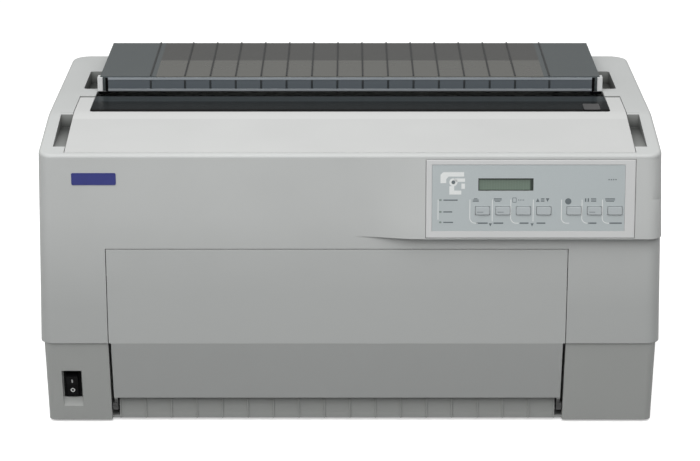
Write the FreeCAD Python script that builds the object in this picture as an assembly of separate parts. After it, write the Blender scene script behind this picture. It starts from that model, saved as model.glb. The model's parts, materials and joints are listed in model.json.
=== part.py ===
"""Wide-carriage dot matrix printer, built as an assembly of separate pieces.

Millimetres, +Z up. The printer faces -Y and its right side, with the control panel, is +X.
The origin is on the table, under the middle of the printer's box.
"""
import FreeCAD
import Part
import math
import os

Vector = FreeCAD.Vector
Placement = FreeCAD.Placement
Rotation = FreeCAD.Rotation
AXIS_X = Vector(1, 0, 0)
AXIS_Y = Vector(0, 1, 0)
AXIS_Z = Vector(0, 0, 1)
HALF_TURN = 180.0

# Overall case
CASE_WIDTH = 700.0
CASE_DEPTH = 398.0
CASE_TOP = 350.5
CASE_FLARE = 6.0
FRONT_EDGE_DROP = 19.0
SLOPE_DEPTH = 113.0
SLOPE_BEND_RADIUS = 120.0
BAND_HEIGHT = 106.5
FOOT_HEIGHT = 3.0
WALL = 3.0
FLANGE_WIDTH = 9.0
FRONT_CORNER_RADIUS = 16.0
REAR_CORNER_RADIUS = 22.0
TOP_EDGE_RADIUS = 4.0
SEAM = 0.8
OVERRUN = 5.0
EASE = 1.0

# Bulge that carries the control panel
LIP_PROUD = 10.0
LIP_TALL = 92.0
LIP_TOP_DROP = 4.0
SWOOSH_LENGTH = 80.0
PANEL_WIDTH = 236.0
PANEL_SIDE = 29.0
BULGE_DEPTH = 26.0

# Lower case
LOWER_SIDE_INSET = 4.0
LOWER_STEP = 2.0
LOWER_SLANT = 20.0
LOWER_REAR_INSET = 3.0
LOWER_CORNER_RADIUS = 9.0
LEFT_BLOCK = 73.0
RIGHT_BLOCK = 103.0
BAY_FLOOR_BACK = 29.0
BAY_WALL_DEPTH = 44.0

# Front cover
DOOR_TOP_DROP = 15.5
DOOR_BOTTOM = 33.0
DOOR_THICK = 3.0
DOOR_LOWER_INSET = 2.5
DOOR_ARM_WIDTH = 4.0
DOOR_RIB_PROUD = 4.0
DOOR_RIB_HEIGHT = 2.0
DOOR_RIB_SIDE = 33.0
HINGE_PIN_RADIUS = 2.5
HINGE_BOSS_RADIUS = 6.0
DOOR_HINGE_BACK = 27.0
DOOR_HINGE_HEIGHT = 20.0

# Paper entry strip under the front cover
ENTRY_HEIGHT = 27.0
ENTRY_LIFT = 1.5
ENTRY_DEPTH = 26.0
ENTRY_END_GAP = 8.0
ENTRY_RIB_WIDTH = 1.6
ENTRY_RIB_PROUD = 1.5
ENTRY_RIB_COUNT = 18

# Feet
FOOT_RADIUS = 12.0
FOOT_SIDE_INSET = 34.0
FOOT_FRONT_INSET = 58.0
FOOT_REAR_INSET = 36.0
SCREW_HEAD_RADIUS = 3.5
SCREW_HEAD_THICK = 1.8
SCREW_SHANK_RADIUS = 1.5
SCREW_SIDE_INSET = 62.0
SCREW_REAR_INSET = 48.0
SCREW_COUNT = 3
SCREW_FRONT_INSET = 80.0

# Top cover and its window
SIDE_RAIL = 29.5
COVER_FRONT_BACK = 7.5
COVER_ARM_WIDTH = 17.5
COVER_HINGE_BACK = 179.5
COVER_HINGE_DROP = 8.0
SLOT_FRONT_BACK = 116.5
SLOT_CORNER_RADIUS = 4.0
COVER_RIM_HEIGHT = 5.0
COVER_RIM_THICK = 2.0
COVER_RIM_GAP = 3.0
COVER_LEDGE = 8.0
COVER_LEDGE_GAP = 0.3
COVER_LEDGE_THICK = 2.0
PANE_THICK = 2.5
PANE_SIDE_LAP = 5.0
PANE_SKIN = 1.2
PANE_REACH = 5.5
HINGE_TAB_THICK = 4.0
HINGE_TAB_DEPTH = 16.0
HINGE_TAB_HEIGHT = 16.0

# Finger recesses beside the top cover
RECESS_WIDTH = 14.5
RECESS_FRONT_BACK = 22.0
RECESS_LENGTH = 86.0
RECESS_DEPTH = 17.0
RECESS_SHALLOW = 3.0
RECESS_FLAT_SHARE = 0.45
POCKET_WALL = 2.0
POCKET_CORNER_RADIUS = 4.0

# Smoked paper guide with its tear bar
GUIDE_SIDE_GAP = 4.0
GUIDE_FRONT_BACK = 209.0
GUIDE_REAR_GAP = 7.0
GUIDE_FRONT_RISE = 18.5
GUIDE_REAR_RISE = 18.0
GUIDE_THICK = 2.5
GUIDE_RIB_PITCH = 30.4
GUIDE_RIB_COUNT = 14
GUIDE_OUTER_RIB_GAP = 41.0
GUIDE_RIB_WIDTH = 1.8
GUIDE_RIB_PROUD = 1.0
GUIDE_SKIRT_GAP = 0.8
GUIDE_HINGE_INSET = 8.0
GUIDE_HINGE_RISE = 8.0
GUIDE_REAR_SKIRT = 9.0
GUIDE_EAR_THICK = 5.0
GUIDE_EAR_GAP = 0.5
GUIDE_EAR_RADIUS = 5.0
TEAR_BAR_THICK = 2.0
TEAR_BAR_SIDE_INSET = 3.0
BRACKET_WIDTH = 6.5
BRACKET_DEPTH = 13.0
GUIDE_OPENING_INSET = 9.0
GUIDE_OPENING_REAR = 49.0
NOTCH_FRONT_BACK = 12.0
NOTCH_LENGTH = 86.0
NOTCH_DEPTH = 16.0
NOTCH_GAP = 3.5

# Control panel, in its own frame: up along the sloping face, depth into the machine
BEZEL_MARGIN = 0.3
BEZEL_PLATE = 3.0
BEZEL_DEPTH = 14.0
BEZEL_WALL = 2.0
BEZEL_EDGE_RADIUS = 1.2
OVERLAY_SIDE = 7.0
OVERLAY_RIGHT = 12.0
OVERLAY_LOW = 9.5
OVERLAY_HIGH = 85.5
OVERLAY_THICK = 0.8
OVERLAY_SINK = 0.3
OVERLAY_MARGIN = 0.2
LCD_INSET = 59.0
LCD_WIDTH = 62.0
LCD_LOW = 55.5
LCD_HEIGHT = 14.5
LCD_BODY_MARGIN = 5.0
LCD_BODY_DEPTH = 7.0
KEY_LOW = 28.5
KEY_HEIGHT = 9.0
KEY_WIDTH = 16.0
KEY_PROUD = 1.3
KEY_GAP = 0.4
KEY_FLANGE = 1.2
KEY_FLANGE_THICK = 1.2
KEY_FLANGE_GAP = 0.3
KEY_STEM_RADIUS = 2.0
KEY_TRAVEL = 1.0
KEY_TRAVEL_SPARE = 0.2
KEY_CORNER_RADIUS = 1.5
KEY_INSET = 64.0
KEY_END_GAP = 7.0
KEY_GROUP_GAP = 11.0
KEY_FIRST_GROUP = 4
KEY_NAMES = ("pitch", "font", "tear_off", "load_eject", "feed", "pause", "menu")
TACT_SIZE = 6.0
TACT_HEIGHT = 2.6
PANEL_BOARD_THICK = 1.6

# Power switch, in the frame of the lower case's slanting front
SWITCH_SIDE = 28.0
SWITCH_HEIGHT = 50.5
SWITCH_RECESS_WIDTH = 23.0
SWITCH_RECESS_HEIGHT = 38.0
SWITCH_RECESS_DEPTH = 6.0
SWITCH_PLATE_WIDTH = 20.0
SWITCH_PLATE_HEIGHT = 36.0
SWITCH_PLATE_THICK = 2.0
SWITCH_BODY_WIDTH = 17.0
SWITCH_BODY_HEIGHT = 34.0
SWITCH_BODY_DEPTH = 20.0
SWITCH_WELL_WIDTH = 14.0
SWITCH_WELL_HEIGHT = 31.2
SWITCH_WELL_DEPTH = 12.0
ROCKER_WIDTH = 13.2
ROCKER_HALF_HEIGHT = 14.0
ROCKER_TIP_PROUD = 5.0
ROCKER_DIP_PROUD = 3.0
ROCKER_BACK = 5.0
ROCKER_BACK_HALF = 9.0
ROCKER_PIVOT_DEPTH = 3.5
ROCKER_AXLE_RADIUS = 1.5
ROCKER_AXLE_LENGTH = 0.9
ROCKER_TILT = 8.0
SCOOP_RADIUS = 18.0
SCOOP_STANDOFF = 15.5
SCOOP_DROP = 1.0

# Steel frame
TRAY_THICK = 2.0
TRAY_SIDE_INSET = 20.0
TRAY_FRONT_BACK = 48.0
TRAY_REAR_INSET = 14.0
FRAME_SIDE_INSET = 39.0
FRAME_THICK = 2.5
FRAME_FOOT_THICK = 2.5
FRAME_REAR_SLOPE = 50.0
FRAME_TOP_DROP = 26.0
FRAME_FRONT_BACK = 51.0
FRAME_REAR_INSET = 69.0
FRAME_SHOULDER_DROP = 118.0
FRAME_FOOT_WIDTH = 14.0
CROSS_PLATE_DROP = 108.0
CROSS_PLATE_THICK = 2.0
CROSS_PLATE_FRONT_BACK = 19.0
CROSS_PLATE_DEPTH = 90.0
BUSH_FLANGE = 1.5
BUSH_WALL = 3.0
RUNNING_GAP = 0.08

# Platen
PLATEN_BACK = 197.0
PLATEN_DROP = 42.0
PLATEN_RADIUS = 17.0
PLATEN_END_GAP = 49.0
PLATEN_SHAFT_RADIUS = 6.0

# Paper feed drive on the right of the frame
MOTOR_RADIUS = 21.0
MOTOR_LENGTH = 38.0
GEAR_MODULE = 1.5
PLATEN_GEAR_TEETH = 30
PINION_TEETH = 12
ADDENDUM_SHARE = 0.9
DEDENDUM_SHARE = 1.2
BACKLASH_SHARE = 0.2
PRESSURE_ANGLE = 20.0
GEAR_WIDTH = 8.0
GEAR_FRAME_GAP = 3.5
PINION_DIRECTION = -50.0
MOTOR_SHAFT_RADIUS = 3.0
MOTOR_SHAFT_HOLE_GAP = 1.0
PULLEY_RADIUS = 14.0
PULLEY_FLANGE = 1.6
PULLEY_FLANGE_THICK = 1.2
PULLEY_GAP = 2.0
FEED_BELT_WIDTH = 7.0
BELT_THICK = 1.5
BELT_CLEARANCE = 0.3
BELT_SIDE_GAP = 0.4

# Tractors
TRACTOR_BACK = 74.0
TRACTOR_DROP = 86.0
TRACTOR_LOOP_LENGTH = 40.0
TRACTOR_RADIUS = 12.0
TRACTOR_WIDTH = 24.0
TRACTOR_SIDE = 141.0
DRIVE_SHAFT_SIDE = 10.0
JOURNAL_RADIUS = 5.0
JOURNAL_SHOULDER = 6.0
SHAFT_HOLE_GAP = 1.0
SUPPORT_ROD_RADIUS = 5.0
SPROCKET_RADIUS = 10.5
SPROCKET_WIDTH = 7.0
SPROCKET_BORE_GAP = 0.1
SPROCKET_SIDE_GAP = 0.5
PIN_BELT_GAP = 0.3
PIN_RADIUS = 1.6
PIN_HEIGHT = 2.2
PIN_PITCH = 12.7
PIN_COUNT = 3
FLAP_THICK = 2.0
FLAP_RISE = 0.8
FLAP_HINGE_RADIUS = 2.0
FLAP_SLOT_WIDTH = 5.0
FLAP_PIN_RADIUS = 1.0
FLAP_EAR_LENGTH = 4.0

# Carriage
ROD_BACK = 137.0
ROD_RISE = 24.0
ROD_RADIUS = 8.0
CARRIAGE_HALF_WIDTH = 38.0
CARRIAGE_HALF_DEPTH = 28.0
CARRIAGE_DROP = 16.0
CARRIAGE_RISE = 22.0
RAIL_WIDTH = 8.0
RAIL_GAP = 0.3
HEAD_HALF_WIDTH = 24.0
HEAD_FRONT_INSET = 4.0
HEAD_REAR_INSET = 6.0
HEAD_HEIGHT = 38.0
HEAD_BASE = 6.0
HEAD_CORE_INSET = 8.0
HEAD_FIN_COUNT = 6
HEAD_FIN_THICK = 2.2
NOSE_HALF_WIDTH = 9.0
NOSE_HALF_HEIGHT = 8.0
NOSE_GAP = 1.0
CARRIAGE_PULLEY_INSET = 49.0
CARRIAGE_PULLEY_FORWARD = 48.0
CARRIAGE_PULLEY_RADIUS = 10.0
CARRIAGE_PULLEY_LIFT = 2.0
CARRIAGE_BELT_WIDTH = 6.0
IDLER_PIN_RADIUS = 2.5
CLAMP_HALF_WIDTH = 10.0

# Ribbon cartridge
RIBBON_SIDE_GAP = 71.0
RIBBON_FRONT_BACK = 21.0
RIBBON_DEPTH = 48.0
RIBBON_LIFT = 12.0
RIBBON_HEIGHT = 53.0
RIBBON_WALL = 2.0
RIBBON_ARM_WIDTH = 16.0
RIBBON_ARM_HEIGHT = 16.0
RIBBON_EDGE_RADIUS = 3.0
RIBBON_POST_WIDTH = 20.0
RIBBON_POST_SIDE = 90.0
RIBBON_POST_INSET = 8.0
INK_THICK = 0.25
INK_HEIGHT = 13.0
INK_GAP = 0.35

# Paper path plates
CHUTE_THICK = 1.5
CHUTE_LOW_RISE = 18.0
CHUTE_BEND_DROP = 66.0
CHUTE_TOP_DROP = 21.0
CHUTE_LOW_FORWARD = 56.0
CHUTE_BEND_FORWARD = 24.0
CHUTE_TOP_FORWARD = 16.0
EXIT_PLATE_GAP = 2.0
EXIT_PLATE_THICK = 2.0
EXIT_PLATE_LIFT = 2.0

# Electronics and power
BOARD_LIFT = 8.0
BOARD_THICK = 1.6
BOARD_SIDE = 11.0
BOARD_SUPPLY_GAP = 70.0
BOARD_DEPTH = 140.0
BOARD_REAR_INSET = 34.0
BOARD_POST_RADIUS = 3.0
BOARD_POST_INSET = 7.0
CHIP_SIZE = 28.0
CHIP_HEIGHT = 3.5
SINK_LENGTH = 60.0
SINK_DEPTH = 22.0
SINK_HEIGHT = 26.0
SINK_FIN_COUNT = 7
SINK_FIN_THICK = 1.5
SINK_BASE = 3.0
CAPACITOR_RADIUS = 9.0
CAPACITOR_HEIGHT = 26.0
CAPACITOR_COUNT = 3
SUPPLY_SIDE = 101.0
SUPPLY_LENGTH = 190.0
SUPPLY_DEPTH = 120.0
SUPPLY_HEIGHT = 62.0
SUPPLY_REAR_INSET = 40.0
SUPPLY_VENT_COUNT = 14
SUPPLY_VENT_WIDTH = 3.0
SUPPLY_VENT_HEIGHT = 34.0
SUPPLY_VENT_DEPTH = 1.5

# Rear wall fittings
INLET_SIDE = 65.0
INLET_Z = 55.0
INLET_WIDTH = 30.0
INLET_HEIGHT = 24.0
INLET_CAVITY_WIDTH = 24.5
INLET_CAVITY_HEIGHT = 17.0
INLET_CAVITY_DEPTH = 16.0
INLET_BODY_DEPTH = 22.0
INLET_FLANGE_WIDTH = 50.0
INLET_FLANGE_THICK = 2.0
INLET_CHAMFER = 4.5
INLET_PIN_WIDTH = 2.0
INLET_PIN_HEIGHT = 4.0
INLET_PIN_LENGTH = 10.0
INLET_PIN_SPACING = 7.0
INLET_PIN_OFFSET = 2.0
PORT_PLATE_SIDE = 60.0
PORT_PLATE_WIDTH = 180.0
PORT_PLATE_LOW = 24.0
PORT_PLATE_HEIGHT = 52.0
PORT_PLATE_THICK = 1.5
PORT_LAP = 5.0
PARALLEL_WIDTH = 62.0
PARALLEL_HEIGHT = 13.0
SERIAL_WIDTH = 42.0
SERIAL_HEIGHT = 12.0
USB_SIZE = 12.0
PORT_GAP = 16.0
PORT_BODY_DEPTH = 14.0
PORT_SHELL_WALL = 1.2
PORT_RECESS = 3.0
REAR_COVER_SIDE = 100.0
REAR_COVER_LOW_RISE = 42.0
REAR_COVER_TOP_DROP = 54.0
REAR_COVER_LEDGE = 8.0
REAR_COVER_THICK = 1.5
LOUVRE_COUNT = 24
LOUVRE_WIDTH = 3.0
LOUVRE_HEIGHT = 36.0

# Places worked out from the sizes above: the case
HALF_WIDTH = CASE_WIDTH / 2
LIP_Y = -CASE_DEPTH / 2
FACE_Y = LIP_Y + LIP_PROUD
REAR_Y = CASE_DEPTH / 2
CASE_UNDER_TOP = CASE_TOP - WALL
FRONT_EDGE_TOP = CASE_TOP - FRONT_EDGE_DROP
SLOPE_ANGLE = math.atan2(FRONT_EDGE_DROP, SLOPE_DEPTH)
LIP_RUNOUT = FRONT_EDGE_TOP - LIP_TOP_DROP
LIP_HEIGHT = LIP_RUNOUT - LIP_TALL
DOOR_TOP = LIP_HEIGHT - DOOR_TOP_DROP
LOWER_TOP_Y = FACE_Y + LOWER_STEP
LOWER_FOOT_Y = LOWER_TOP_Y + LOWER_SLANT
LOWER_TALL = BAND_HEIGHT - FOOT_HEIGHT
LOWER_LEAN = math.degrees(math.atan2(LOWER_SLANT, LOWER_TALL))
LOWER_REAR_Y = REAR_Y - LOWER_REAR_INSET
FLOOR_TOP = FOOT_HEIGHT + WALL
TRAY_TOP = FLOOR_TOP + TRAY_THICK
BAY_LEFT = -HALF_WIDTH + LEFT_BLOCK
BAY_RIGHT = HALF_WIDTH - RIGHT_BLOCK
BAY_FLOOR_Y = FACE_Y + BAY_FLOOR_BACK
DOOR_HINGE_Y = FACE_Y + DOOR_HINGE_BACK
DOOR_RIB_WIDTH = BAY_RIGHT - BAY_LEFT - 2 * DOOR_RIB_SIDE
SCREW_PITCH = (REAR_Y - SCREW_REAR_INSET - FACE_Y - SCREW_FRONT_INSET) / (SCREW_COUNT - 1)
REAR_COVER_HALF_WIDTH = HALF_WIDTH - REAR_COVER_SIDE
REAR_COVER_LOW = BAND_HEIGHT + REAR_COVER_LOW_RISE
REAR_COVER_HIGH = CASE_TOP - REAR_COVER_TOP_DROP
SWITCH_X = -HALF_WIDTH + SWITCH_SIDE
INLET_X = HALF_WIDTH - INLET_SIDE
PORT_PLATE_LEFT = -HALF_WIDTH + PORT_PLATE_SIDE

# The top cover, the paper guide and the panel
COVER_HALF_WIDTH = HALF_WIDTH - SIDE_RAIL
COVER_FRONT_Y = FACE_Y + COVER_FRONT_BACK
COVER_HINGE_Y = FACE_Y + COVER_HINGE_BACK
COVER_HINGE_Z = CASE_TOP - COVER_HINGE_DROP
COVER_BACK_Y = COVER_HINGE_Y + COVER_HINGE_DROP
SLOT_FRONT_Y = FACE_Y + SLOT_FRONT_BACK
SLOT_HALF_WIDTH = COVER_HALF_WIDTH - COVER_ARM_WIDTH
PANE_BACK_Y = COVER_HINGE_Y + PANE_REACH
GUIDE_HALF_WIDTH = SLOT_HALF_WIDTH - GUIDE_SIDE_GAP
GUIDE_FRONT_Y = FACE_Y + GUIDE_FRONT_BACK
GUIDE_REAR_Y = REAR_Y - GUIDE_REAR_GAP
GUIDE_LENGTH = GUIDE_REAR_Y - GUIDE_FRONT_Y
GUIDE_HINGE_Y = GUIDE_REAR_Y - GUIDE_HINGE_INSET
GUIDE_HINGE_Z = CASE_TOP + GUIDE_HINGE_RISE
GUIDE_OPENING_HALF = GUIDE_HALF_WIDTH - GUIDE_OPENING_INSET
GUIDE_OPENING_BACK = GUIDE_HINGE_Y - GUIDE_OPENING_REAR
PANEL_RIGHT = HALF_WIDTH - PANEL_SIDE
PANEL_LEFT = PANEL_RIGHT - PANEL_WIDTH
PANEL_SLOPE = math.degrees(math.atan2(LIP_PROUD, LIP_TALL))
PANEL_FRAME = Placement(Vector(0, LIP_Y, LIP_HEIGHT), Rotation(AXIS_X, -PANEL_SLOPE))
PANEL_TALL = math.hypot(LIP_PROUD, LIP_TALL)
LCD_LEFT = PANEL_LEFT + LCD_INSET
KEY_GROUP_LEFT = PANEL_LEFT + KEY_INSET
KEY_RUN = PANEL_WIDTH - KEY_INSET - KEY_GROUP_GAP - KEY_WIDTH - KEY_END_GAP
KEY_PITCH = KEY_RUN / (len(KEY_NAMES) - 1)

# The mechanism between the frames
TRAY_HALF_WIDTH = HALF_WIDTH - TRAY_SIDE_INSET
FRAME_INNER_X = HALF_WIDTH - FRAME_SIDE_INSET
FRAME_OUTER_X = FRAME_INNER_X + FRAME_THICK
FRAME_TOP = CASE_TOP - FRAME_TOP_DROP
FRAME_SHOULDER_Z = FRAME_TOP - FRAME_SHOULDER_DROP
FRAME_FRONT_Y = FACE_Y + FRAME_FRONT_BACK
FRAME_REAR_Y = REAR_Y - FRAME_REAR_INSET
CROSS_PLATE_Z = CASE_TOP - CROSS_PLATE_DROP
CROSS_PLATE_TOP = CROSS_PLATE_Z + CROSS_PLATE_THICK
CROSS_PLATE_FRONT_Y = FACE_Y + CROSS_PLATE_FRONT_BACK
CROSS_PLATE_REAR_Y = CROSS_PLATE_FRONT_Y + CROSS_PLATE_DEPTH
PLATEN_Y = FACE_Y + PLATEN_BACK
PLATEN_Z = CASE_TOP - PLATEN_DROP
PLATEN_HALF_LENGTH = FRAME_INNER_X - PLATEN_END_GAP
GEAR_LEFT_X = FRAME_OUTER_X + GEAR_FRAME_GAP
FEED_PULLEY_X = GEAR_LEFT_X + GEAR_WIDTH + PULLEY_GAP
PLATEN_GEAR_RADIUS = GEAR_MODULE * PLATEN_GEAR_TEETH / 2
PINION_RADIUS = GEAR_MODULE * PINION_TEETH / 2
PINION_Y = PLATEN_Y + (PLATEN_GEAR_RADIUS + PINION_RADIUS) * math.cos(math.radians(PINION_DIRECTION))
PINION_Z = PLATEN_Z + (PLATEN_GEAR_RADIUS + PINION_RADIUS) * math.sin(math.radians(PINION_DIRECTION))
TRACTOR_Y = FACE_Y + TRACTOR_BACK
TRACTOR_Z = CROSS_PLATE_Z - TRACTOR_DROP
TRACTOR_REST_X = FRAME_INNER_X - TRACTOR_SIDE
ROD_Y = FACE_Y + ROD_BACK
ROD_Z = CROSS_PLATE_TOP + ROD_RISE
CARRIAGE_FRONT_Y = ROD_Y - CARRIAGE_HALF_DEPTH
CARRIAGE_REAR_Y = ROD_Y + CARRIAGE_HALF_DEPTH
CARRIAGE_BOTTOM = ROD_Z - CARRIAGE_DROP
CARRIAGE_TOP = ROD_Z + CARRIAGE_RISE
HEAD_FRONT_Y = CARRIAGE_FRONT_Y + HEAD_FRONT_INSET
HEAD_REAR_Y = CARRIAGE_REAR_Y - HEAD_REAR_INSET
HEAD_TOP = CARRIAGE_TOP + HEAD_HEIGHT
NOSE_TIP_Y = PLATEN_Y - PLATEN_RADIUS - NOSE_GAP
CARRIAGE_PULLEY_X = FRAME_INNER_X - CARRIAGE_PULLEY_INSET
CARRIAGE_PULLEY_Y = ROD_Y - CARRIAGE_PULLEY_FORWARD
RIBBON_HALF_LENGTH = FRAME_INNER_X - RIBBON_SIDE_GAP
RIBBON_FRONT_Y = FACE_Y + RIBBON_FRONT_BACK
RIBBON_REAR_Y = RIBBON_FRONT_Y + RIBBON_DEPTH
RIBBON_BOTTOM = CROSS_PLATE_TOP + RIBBON_LIFT
RIBBON_TOP = RIBBON_BOTTOM + RIBBON_HEIGHT
RIBBON_POST_X = RIBBON_HALF_LENGTH - RIBBON_POST_SIDE
CHUTE_LOW_Z = TRACTOR_Z + CHUTE_LOW_RISE
CHUTE_TOP_Z = PLATEN_Z - CHUTE_TOP_DROP
CHUTE_BEND_Z = CHUTE_TOP_Z - CHUTE_BEND_DROP
CHUTE_LOW_Y = PLATEN_Y - CHUTE_LOW_FORWARD
CHUTE_BEND_Y = PLATEN_Y - CHUTE_BEND_FORWARD
CHUTE_TOP_Y = PLATEN_Y - CHUTE_TOP_FORWARD
EXIT_PLATE_Y = PLATEN_Y + PLATEN_RADIUS + EXIT_PLATE_GAP
EXIT_PLATE_BOTTOM = PLATEN_Z + EXIT_PLATE_LIFT
BOARD_LEFT = -FRAME_INNER_X + BOARD_SIDE
BOARD_Z = TRAY_TOP + BOARD_LIFT
SUPPLY_LEFT = FRAME_INNER_X - SUPPLY_SIDE - SUPPLY_LENGTH
BOARD_LENGTH = SUPPLY_LEFT - BOARD_SUPPLY_GAP - BOARD_LEFT


def block(x0, x1, y0, y1, z0, z1):
    """A box between two corners."""
    return Part.makeBox(x1 - x0, y1 - y0, z1 - z0, Vector(x0, y0, z0))


def rod_x(radius, x0, x1, y, z):
    return Part.makeCylinder(radius, x1 - x0, Vector(x0, y, z), AXIS_X)


def rod_y(radius, y0, y1, x, z):
    return Part.makeCylinder(radius, y1 - y0, Vector(x, y0, z), AXIS_Y)


def rod_z(radius, z0, z1, x, y):
    return Part.makeCylinder(radius, z1 - z0, Vector(x, y, z0), AXIS_Z)


def prism_x(points, x0, x1):
    """A closed (y, z) outline, carried along X."""
    corners = [Vector(x0, y, z) for y, z in points]
    face = Part.Face(Part.makePolygon(corners + corners[:1]))
    return face.extrude(Vector(x1 - x0, 0, 0))


def prism_z(points, z0, z1):
    """A closed (x, y) outline, carried up Z."""
    corners = [Vector(x, y, z0) for x, y in points]
    face = Part.Face(Part.makePolygon(corners + corners[:1]))
    return face.extrude(Vector(0, 0, z1 - z0))


def line(a, b):
    return Part.LineSegment(a, b).toShape()


def arc(a, b, c):
    return Part.Arc(a, b, c).toShape()


def fuse(shapes):
    """One solid from touching or crossing shapes."""
    first, rest = shapes[0], shapes[1:]
    joined = first.fuse(rest) if rest else first
    return joined.removeSplitter()


def is_vertical(edge):
    """True for a straight edge along Z."""
    span = edge.BoundBox
    return span.XLength < EASE / 10 and span.YLength < EASE / 10 and span.ZLength > EASE / 10


def is_upright(edge):
    """True for a straight corner edge that climbs most of the upper case's height."""
    span = edge.BoundBox
    return span.YLength < EASE / 10 and span.ZLength > (CASE_TOP - BAND_HEIGHT) / 2


def rounded(shape, radius, wanted):
    """The shape with a fillet on each edge that wanted() picks."""
    return shape.makeFillet(radius, [e for e in shape.Edges if wanted(e)])


def mirrored(shape):
    """The same piece on the other side of the printer."""
    return shape.mirror(Vector(0, 0, 0), AXIS_X)


def rounded_plate(x0, x1, y0, y1, z0, z1, radius):
    """A box with its four edges along Z rounded."""
    return rounded(block(x0, x1, y0, y1, z0, z1), radius, is_vertical)


def slope_height(y):
    """Height of the case's top skin at depth y, without the bend's arc."""
    return min(CASE_TOP, FRONT_EDGE_TOP + (y - FACE_Y) * math.tan(SLOPE_ANGLE))


def half_width_at(z):
    """Half the upper case's width at height z: its sides flare out towards its open foot."""
    return HALF_WIDTH + CASE_FLARE * (CASE_TOP - z) / (CASE_TOP - BAND_HEIGHT)


def between_sides(inset, bottom):
    """The room between the upper case's flaring sides, drawn in by inset."""
    top = CASE_TOP + OVERRUN
    low = half_width_at(bottom) - inset
    high = half_width_at(top) - inset
    places = ((-low, bottom), (low, bottom), (high, top), (-high, top))
    corners = [Vector(x, -CASE_DEPTH, z) for x, z in places]
    return Part.Face(Part.makePolygon(corners + corners[:1])).extrude(Vector(0, 2 * CASE_DEPTH, 0))


def case_form(inset, bottom):
    """The upper case's outer body, drawn in by inset all round, down to a given height."""
    face = FACE_Y + inset
    rear = REAR_Y - inset
    top = CASE_TOP - inset
    edge = FRONT_EDGE_TOP - inset / math.cos(SLOPE_ANGLE) + inset * math.tan(SLOPE_ANGLE)
    bend_y = FACE_Y + SLOPE_DEPTH + inset * math.tan(SLOPE_ANGLE / 2)
    radius = SLOPE_BEND_RADIUS - inset
    run = radius * math.tan(SLOPE_ANGLE / 2)
    before = (bend_y - run * math.cos(SLOPE_ANGLE), top - run * math.sin(SLOPE_ANGLE))
    middle = (bend_y + run - radius * math.sin(SLOPE_ANGLE / 2),
              top - radius + radius * math.cos(SLOPE_ANGLE / 2))
    after = (bend_y + run, top)
    left = -HALF_WIDTH - CASE_FLARE - OVERRUN

    def at(point):
        return Vector(left, point[0], point[1])

    outline = [(face, bottom), (face, edge), before, after, (rear, top), (rear, bottom)]
    edges = [line(at(outline[0]), at(outline[1])), line(at(outline[1]), at(before))]
    edges += [arc(at(before), at(middle), at(after)), line(at(after), at(outline[4]))]
    edges += [line(at(outline[4]), at(outline[5])), line(at(outline[5]), at(outline[0]))]
    body = Part.Face(Part.Wire(edges)).extrude(Vector(-2 * left, 0, 0))
    body = body.common(between_sides(inset, bottom))
    body = rounded(body, FRONT_CORNER_RADIUS - inset, lambda e: is_upright(e) and e.BoundBox.YMax < 0)
    body = rounded(body, REAR_CORNER_RADIUS - inset, lambda e: is_upright(e) and e.BoundBox.YMin > 0)

    def on_rim(e):
        span = e.BoundBox
        crosses = span.YLength < EASE and before[0] - EASE < span.YMin < after[0] + EASE
        return span.ZMin > edge - EASE and not crosses

    return rounded(body, TOP_EDGE_RADIUS - inset, on_rim)


def bulge():
    """The swelling of the front that tips the control panel back, fading out to the left."""
    start = PANEL_LEFT - SWOOSH_LENGTH
    half_run = SWOOSH_LENGTH / 2
    half_rise = LIP_PROUD / 2
    radius = (half_run ** 2 + half_rise ** 2) / (2 * half_rise)
    sag = radius - math.sqrt(radius ** 2 - (half_run / 2) ** 2)
    inner = FACE_Y + BULGE_DEPTH

    def outline(front, z, swing):
        p = [Vector(start, FACE_Y, z), Vector(start + half_run / 2, FACE_Y - sag * swing, z)]
        p += [Vector(start + half_run, FACE_Y - half_rise * swing, z)]
        p += [Vector(PANEL_LEFT - half_run / 2, front + sag * swing, z), Vector(PANEL_LEFT, front, z)]
        side = half_width_at(z)
        turn = FRONT_CORNER_RADIUS + EASE / 2 * (1 - swing)
        bow = turn * (1 - math.sqrt(0.5))
        corner = [Vector(side - turn, front, z), Vector(side - bow, front + bow, z)]
        corner += [Vector(side, front + turn, z)]
        back = [Vector(side, inner, z), Vector(start, inner, z)]
        if swing:
            sweep = [arc(p[0], p[1], p[2]), arc(p[2], p[3], p[4])]
        else:
            sweep = [line(p[0], p[2]), line(p[2], p[4])]
        edges = sweep + [line(p[4], corner[0]), arc(*corner), line(corner[2], back[0])]
        edges += [line(back[0], back[1]), line(back[1], p[0])]
        return Part.Wire(edges)

    return Part.makeLoft([outline(LIP_Y, LIP_HEIGHT, 1), outline(FACE_Y, LIP_RUNOUT, 0)], True, True)


def on_panel(shape):
    """Moves a piece from the control panel's own frame to its place."""
    placed = shape.copy()
    placed.Placement = PANEL_FRAME.multiply(placed.Placement)
    return placed


def pocket(left, right, front, back, deep, shallow):
    """A recess with a floor that falls from shallow at the front to deep, as a solid to cut."""
    level = back - (back - front) * RECESS_FLAT_SHARE
    profile = [(front, CASE_TOP + OVERRUN), (front, slope_height(front) - shallow)]
    profile += [(level, CASE_TOP - deep), (back, CASE_TOP - deep), (back, CASE_TOP + OVERRUN)]
    return prism_x(profile, left, right)


def lid_room():
    """The room of the closed top cover, down to a small gap under its sheet."""
    lid = COVER_HALF_WIDTH + SEAM
    room = block(-lid, lid, COVER_FRONT_Y - SEAM, COVER_BACK_Y, FRONT_EDGE_TOP - 2 * WALL,
                 CASE_TOP + OVERRUN)
    return room.cut(case_form(WALL + COVER_LEDGE_GAP, BAND_HEIGHT))


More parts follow.
